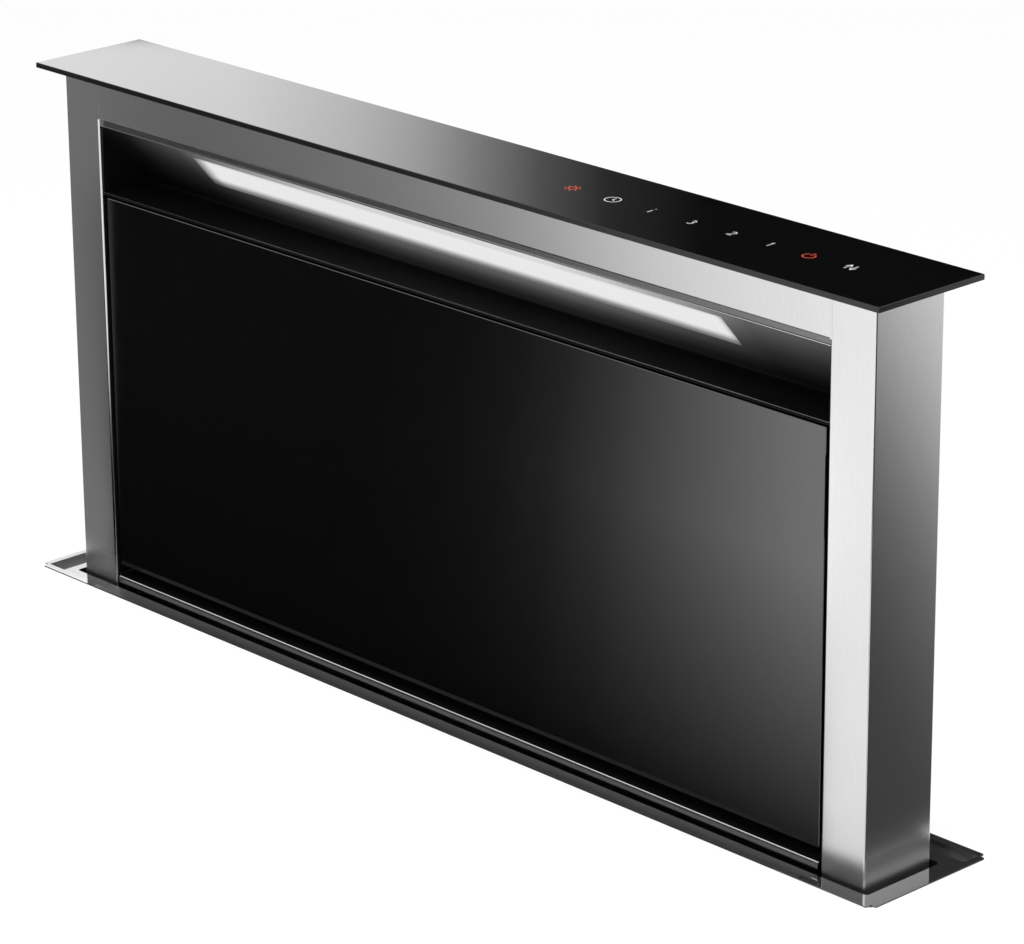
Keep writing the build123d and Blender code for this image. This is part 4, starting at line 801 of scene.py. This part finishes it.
# the lip's steel is a darker copy of the brushed steel: painted shade under the header's overhang
trim(
    "lip_trim",
    (header_box[0].x, LIP[0] - 5 * TRIM, LIP[1] + 22 * TRIM),
    (header_box[1].x, LIP[0] - TRIM, header_box[0].z - TRIM),
    TRIM, "brushed_steel", steel("lip_steel_painted_shade", grey(0.24), 0.25, BRUSHED, BRUSHED_SCALE, 0.006),
)
trim(
    "lip_bead",
    (header_box[0].x, LIP[0] - 11 * TRIM, LIP[1] + 9 * TRIM),
    (header_box[1].x, LIP[0] - TRIM, LIP[1] + 21 * TRIM),
    4 * TRIM, "brushed_steel",
)
trim(
    "hem_bead",
    (header_box[0].x, housing_box[0].y - 4 * TRIM, HEM_Z - 3 * TRIM),
    (header_box[1].x, housing_box[0].y, HEM_Z + 3 * TRIM),
    2 * TRIM, "black_steel", steel("hem_steel", grey(0.3), 0.25, BRUSHED, BRUSHED_SCALE, 0.006),
)


def seam_covers(bm):
    """The header's two turned-in ends, flush with the columns."""
    for s in (-1, 1):
        near, far = sorted(s * x * MM for x in SEAM)
        bar(bm, (near, header_box[0].y, header_box[0].z),
            (far, header_box[0].y + MM, header_box[1].z))


add_piece("seam_covers", seam_covers, "tower", "brushed_steel")
# a black strip on the rail's top: painted shade in the gap below the glass
trim(
    "rail_shade_strip",
    (rail_box[0].x, FRONT_Y + 1.6 * MM, RAIL_TOP + TRIM),
    (rail_box[1].x, rail_box[1].y - 2 * TRIM, RAIL_TOP + 6 * TRIM),
    TRIM, "black_plastic", SHADE_BLACK,
)


def column_shade_strips(bm):
    """Black strips on the columns' turned-in faces, beside the glass: painted shade."""
    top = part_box("front_glass")[1].z
    for s in (-1, 1):
        near, far = sorted(s * x * MM for x in COLUMN_SHADE_STRIP)
        bar(bm, (near, FRONT_Y + 2 * MM, RAIL_TOP + 8 * TRIM), (far, FRONT_Y + 18 * MM, top), TRIM)


add_piece("column_shade_strips", column_shade_strips, "tower", "black_plastic", SHADE_BLACK)


# ---------------------------------------------------------------- screws
FRONT, BACK, UP, DOWN = (0, -1, 0), (0, 1, 0), (0, 0, 1), (0, 0, -1)


def facing(origin, normal):
    """A matrix whose z looks along normal, for pieces that sit on a face."""
    z = Vector(normal).normalized()
    x = Vector(UP).cross(z)
    x = x.normalized() if x.length > 0.1 else Vector((1, 0, 0))
    return Matrix.Translation(origin) @ Matrix((x, z.cross(x), z)).transposed().to_4x4()


def box_mm(node):
    """The low and the high corner of a node, each (x, y, z) in millimetres."""
    return [[c / MM for c in corner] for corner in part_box(node)]


def front_face(node):
    """The y of a node's front face, in millimetres."""
    return box_mm(node)[0][1]


def pan_head(bm, place, radius, height):
    """A domed head with a cross recess."""
    half_arm, reach = 0.16 * radius, 0.55 * radius
    cross = []
    for turn in range(4):
        spin = Matrix.Rotation(math.radians(90 * turn), 2)
        corners = ((reach, -half_arm), (reach, half_arm), (half_arm, half_arm))
        cross += [spin @ Vector(p) for p in corners]
    angles = [math.atan2(p.y, p.x) for p in cross]

    def ring(points, z):
        return [bm.verts.new(place @ Vector((p.x, p.y, z))) for p in points]

    def round_ring(r, z):
        return ring([Vector((math.cos(a), math.sin(a))) * r for a in angles], z)

    rings = [
        round_ring(radius, 0.0), round_ring(radius, 0.4 * height),
        round_ring(0.9 * radius, 0.78 * height), round_ring(0.7 * radius, height),
        ring(cross, height), ring(cross, 0.35 * height),
    ]
    for low, high in zip(rings, rings[1:]):
        for i in range(len(low)):
            j = (i + 1) % len(low)
            bm.faces.new([low[i], low[j], high[j], high[i]])
    bm.faces.new(rings[-1])
    bm.faces.new(rings[0][::-1])


def screws(name, body, head, places, slot="machined_steel"):
    """One piece of pan heads, each head (radius, height), at (origin, normal) in millimetres."""
    def build(bm):
        for origin, normal in places:
            pan_head(bm, facing(Vector(origin) * MM, normal), head[0] * MM, head[1] * MM)
    add_piece(name, build, body, slot)


WALL_FRONT, WALL_BACK = -45.1, 40.3
WALL_SCREW_X = 425.0
WALL_SCREW_Z = [-40.0 - 76.0 * i for i in range(7)]
screws("housing_screws", "housing", (3.6, 2.0), [
    ((s * WALL_SCREW_X, y, z), normal)
    for s in (-1, 1) for z in WALL_SCREW_Z for y, normal in ((WALL_FRONT, FRONT), (WALL_BACK, BACK))
])
BRACKET_X, BRACKET_SCREW_Z, BRACKET_SHEET = 370.0, -66.0, 2.0
screws("bracket_screws", "housing", (3.6, 2.2), [
    ((s * BRACKET_X + dx, y, BRACKET_SCREW_Z), normal)
    for s in (-1, 1) for dx in (-8.0, 8.0)
    for y, normal in ((WALL_FRONT - BRACKET_SHEET, FRONT), (WALL_BACK + BRACKET_SHEET, BACK))
])

# the screws on three arcs of the scroll: (the centre's offset in x and z, radius, angles)
BLOWER_X, BLOWER_Z = -150.0, -250.0
SCROLL_FACE = front_face("scroll_front_plate")
SCROLL_ARCS = (
    (9, 9, 119, (168, 132, 100)), (9, -9, 137, (72, 36, 4)), (-9, -9, 155, (-30, -64)),
)
OUTLET_SCREWS = [(-200.0, -414.0), (-262.0, -414.0), (-262.0, -305.6)]
scroll_points = [
    (BLOWER_X + cx + polar(r, turn)[0], BLOWER_Z + cz + polar(r, turn)[1])
    for cx, cz, r, turns in SCROLL_ARCS for turn in turns
] + OUTLET_SCREWS
screws("scroll_screws", "housing", (2.8, 1.8), [
    ((x, SCROLL_FACE, z), FRONT) for x, z in scroll_points
])
MOTOR_FLANGE, FLANGE_RADIUS = 2.0, 52.5
flange_points = [polar(FLANGE_RADIUS, 45 + 90 * i) for i in range(4)]
screws("blower_screws", "housing", (3.8, 2.6), [
    ((BLOWER_X + dx, SCROLL_FACE - MOTOR_FLANGE, BLOWER_Z + dz), FRONT) for dx, dz in flange_points
])

COVER_FACE = front_face("control_box_cover")
COVER_EDGE = 7
(cover_left, _, cover_bottom), (cover_right, _, cover_top) = box_mm("control_box_cover")
cover_middle = (cover_left + cover_right) / 2
screws("cover_screws", "housing", (2.8, 1.8), [
    ((x, COVER_FACE, z), FRONT)
    for x in (cover_left + COVER_EDGE, cover_middle, cover_right - COVER_EDGE)
    for z in (cover_bottom + COVER_EDGE, cover_top - COVER_EDGE)
])

MOTOR_X, MOTOR_Y = 200.0, -79.1
MOTOR_SCREW_Z, MOTOR_SCREW_OFFSET = -527.0, 23.5
screws("motor_screws", "housing", (3.2, 2.0), [
    ((MOTOR_X + sx * MOTOR_SCREW_OFFSET, MOTOR_Y + sy * MOTOR_SCREW_OFFSET, MOTOR_SCREW_Z), UP)
    for sx in (-1, 1) for sy in (-1, 1)
])
BACK_EDGE = 7.0
BACK_SCREW_Z = (-60.0, 20.0, 100.0, 180.0, 260.0, 340.0, 400.0)
back_x, back_y, _ = box_mm("back_panel")[1]
screws("back_screws", "tower", (2.6, 0.8), [
    ((s * (back_x - BACK_EDGE), back_y, z), BACK) for s in (-1, 1) for z in BACK_SCREW_Z
], "brushed_steel")


# ---------------------------------------------------------------- motors and the control box
RIDGE_STEPS = 6
# how thick a ridge is along its length, from end to end
RIDGE_TAPER = ((-0.5, 0.0), (-0.46, 0.6), (-0.4, 1.0), (0.4, 1.0), (0.46, 0.6), (0.5, 0.0))
THINNEST = 0.25


def ridge(bm, place, size):
    """A pressed rib with a round section and tapered ends: length, width, height in millimetres."""
    length, width, height = [v * MM for v in size]
    rows = []
    for share, thick in RIDGE_TAPER:
        row = []
        for i in range(RIDGE_STEPS + 1):
            a = math.pi * i / RIDGE_STEPS
            across = -math.cos(a) * width / 2 * max(thick, THINNEST)
            point = Vector((share * length, across, math.sin(a) * height * thick))
            row.append(bm.verts.new(place @ point))
        rows.append(row)
    for low, high in zip(rows, rows[1:]):
        for i in range(RIDGE_STEPS):
            bm.faces.new([low[i], high[i], high[i + 1], low[i + 1]])


def lathe(bm, place, profile, sides=48):
    """A turned form from (radius, height) pairs, first to last, in millimetres."""
    rings = []
    for radius, height in profile:
        if radius == 0:
            rings.append([bm.verts.new(place @ Vector((0, 0, height * MM)))])
            continue
        rings.append([
            bm.verts.new(place @ Vector((
                radius * MM * math.cos(2 * math.pi * i / sides),
                radius * MM * math.sin(2 * math.pi * i / sides), height * MM)))
            for i in range(sides)
        ])
    for low, high in zip(rings, rings[1:]):
        for i in range(sides):
            j = (i + 1) % sides
            if len(high) == 1:
                bm.faces.new([low[i], low[j], high[0]])
            else:
                bm.faces.new([low[i], low[j], high[j], high[i]])


LOUVRE_COLUMNS, LOUVRE_ROWS = (-58.0, 0.0, 58.0), 8
LOUVRE_START, LOUVRE_STEP = -212.0, 9.0
LOUVRE = (44, 5, 2.2)


def cover_louvres(bm):
    """Three columns of pressed louvres."""
    for column in LOUVRE_COLUMNS:
        for row in range(LOUVRE_ROWS):
            spot = Vector((cover_middle + column, COVER_FACE, LOUVRE_START + LOUVRE_STEP * row))
            ridge(bm, facing(spot * MM, FRONT), LOUVRE)


add_piece("cover_louvres", cover_louvres, "housing", "galvanised")

MOTOR_FACE = front_face("blower_motor")
CAN_RADIUS, CAN_MIDDLE = 46.9, 23.0
END_RIBS, END_RIB_RADIUS, END_RIB = 24, 27.5, (22, 2.6, 1.6)
CAN_FINS, CAN_FIN = 36, (28, 2.4, 1.8)


def blower_end(bm):
    """The motor's end cap: a raised hub and radial cooling ribs."""
    place = facing((BLOWER_X * MM, MOTOR_FACE * MM, BLOWER_Z * MM), FRONT)
    lathe(bm, place, [(14, 0), (14, 2.4), (12.5, 3.2), (6.5, 3.2), (6.0, 1.8), (0, 1.8)])
    for i in range(END_RIBS):
        turn = Matrix.Rotation(2 * math.pi * i / END_RIBS, 4, "Z")
        out = Matrix.Translation((END_RIB_RADIUS * MM, 0, 0))
        ridge(bm, place @ turn @ out, END_RIB)


def blower_fins(bm):
    """Cooling fins along the can."""
    middle = Vector((BLOWER_X * MM, (MOTOR_FACE + CAN_MIDDLE) * MM, BLOWER_Z * MM))
    axis = Vector(BACK)
    for i in range(CAN_FINS):
        a = 2 * math.pi * i / CAN_FINS
        out = Vector((math.cos(a), 0, math.sin(a)))
        turned = Matrix((axis, out.cross(axis), out)).transposed().to_4x4()
        place = Matrix.Translation(middle + out * CAN_RADIUS * MM) @ turned
        ridge(bm, place, CAN_FIN)


add_piece("blower_end", blower_end, "housing", "motor_black")
add_piece("blower_fins", blower_fins, "housing", "motor_black")

MOTOR_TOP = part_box("lift_motor")[1].z
TERMINAL_X = 14.0
BAND_Z = -452.0


def lift_motor_end(bm):
    """The lift motor's end cap with its bearing seat and two terminals, and a band on the can."""
    top = facing((MOTOR_X * MM, MOTOR_Y * MM, MOTOR_TOP), UP)
    lathe(bm, top, [(8, 0), (8, 2.2), (7, 3.0), (3, 3.0), (2.6, 2.0), (0, 2.0)], 32)
    for s in (-1, 1):
        spot = Vector((MOTOR_X + s * TERMINAL_X, MOTOR_Y, MOTOR_TOP / MM))
        bar(bm, (spot + Vector((-0.4, -3.0, 0))) * MM, (spot + Vector((0.4, 3.0, 7.0))) * MM, TRIM)
    band = facing((MOTOR_X * MM, MOTOR_Y * MM, BAND_Z * MM), UP)
    lathe(bm, band, [(21.9, 0), (22.6, 0.3), (22.6, 9.7), (21.9, 10)])


add_piece("lift_motor_end", lift_motor_end, "housing", "machined_steel")

# ---------------------------------------------------------------- clamp nuts
NUT_INSET, NUT_Z = 8 * MM, -44.0 * MM


def clamp_nuts(bm):
    """A hexagon nut with eased corners below each clamp arm."""
    front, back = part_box("clamp_screws")
    for s in (-1, 1):
        for y in (front.y + NUT_INSET, back.y - NUT_INSET):
            lathe(bm, facing((s * BRACKET_X * MM, y, NUT_Z), DOWN), [
                (3.02, 0), (5.0, 0), (5.77, 0.5), (5.77, 4.5), (5.0, 5.0), (3.02, 5.0),
            ], 6)


add_piece("clamp_nuts", clamp_nuts, "housing", "machined_steel")

# ---------------------------------------------------------------- expanded mesh of the filters
CELL_X, CELL_Z, STRAND = 14.0, 7.0, 1.1
FIELD_BORDER = 13.0
STRAND_FRONT, STRAND_BACK = 0.9, 2.0
ZIGZAG = 0.9  # of half a cell, how far a strand swings


def filter_lattice(bm, node):
    """Zigzag strands that meet in diamonds over the filter's sunk field."""
    (left, face, bottom), (right, _, top) = box_mm(node)
    low_x, high_x = left + FIELD_BORDER, right - FIELD_BORDER
    low_z, high_z = bottom + FIELD_BORDER, top - FIELD_BORDER
    front, back = face + STRAND_FRONT, face + STRAND_BACK
    columns = int((high_x - low_x) / (CELL_X / 2))
    rows = int((high_z - low_z) / (CELL_Z / 2))
    step_x, step_z = (high_x - low_x) / columns, (high_z - low_z) / rows
    for row in range(rows + 1):
        middle = low_z + step_z * row
        lines = []
        for edge, y in ((1, front), (-1, front), (-1, back), (1, back)):
            points = []
            for i in range(columns + 1):
                z = middle + (step_z / 2) * (-1) ** (i + row) * ZIGZAG + edge * STRAND / 2
                points.append(Vector((low_x + step_x * i, y, min(high_z, max(low_z, z)))))
            lines.append([bm.verts.new(p * MM) for p in points])
        for i in range(columns):
            for a in range(4):
                b = (a + 1) % 4
                bm.faces.new([lines[a][i], lines[a][i + 1], lines[b][i + 1], lines[b][i]])


for side in ("left", "right"):
    add_piece(
        f"filter_lattice_{side}", lambda bm: filter_lattice(bm, f"grease_filter_{side}"),
        "tower", "filter_mesh")

# ---------------------------------------------------------------- view transform and end
bpy.context.scene.view_settings.view_transform = "Standard"
bpy.context.view_layer.update()
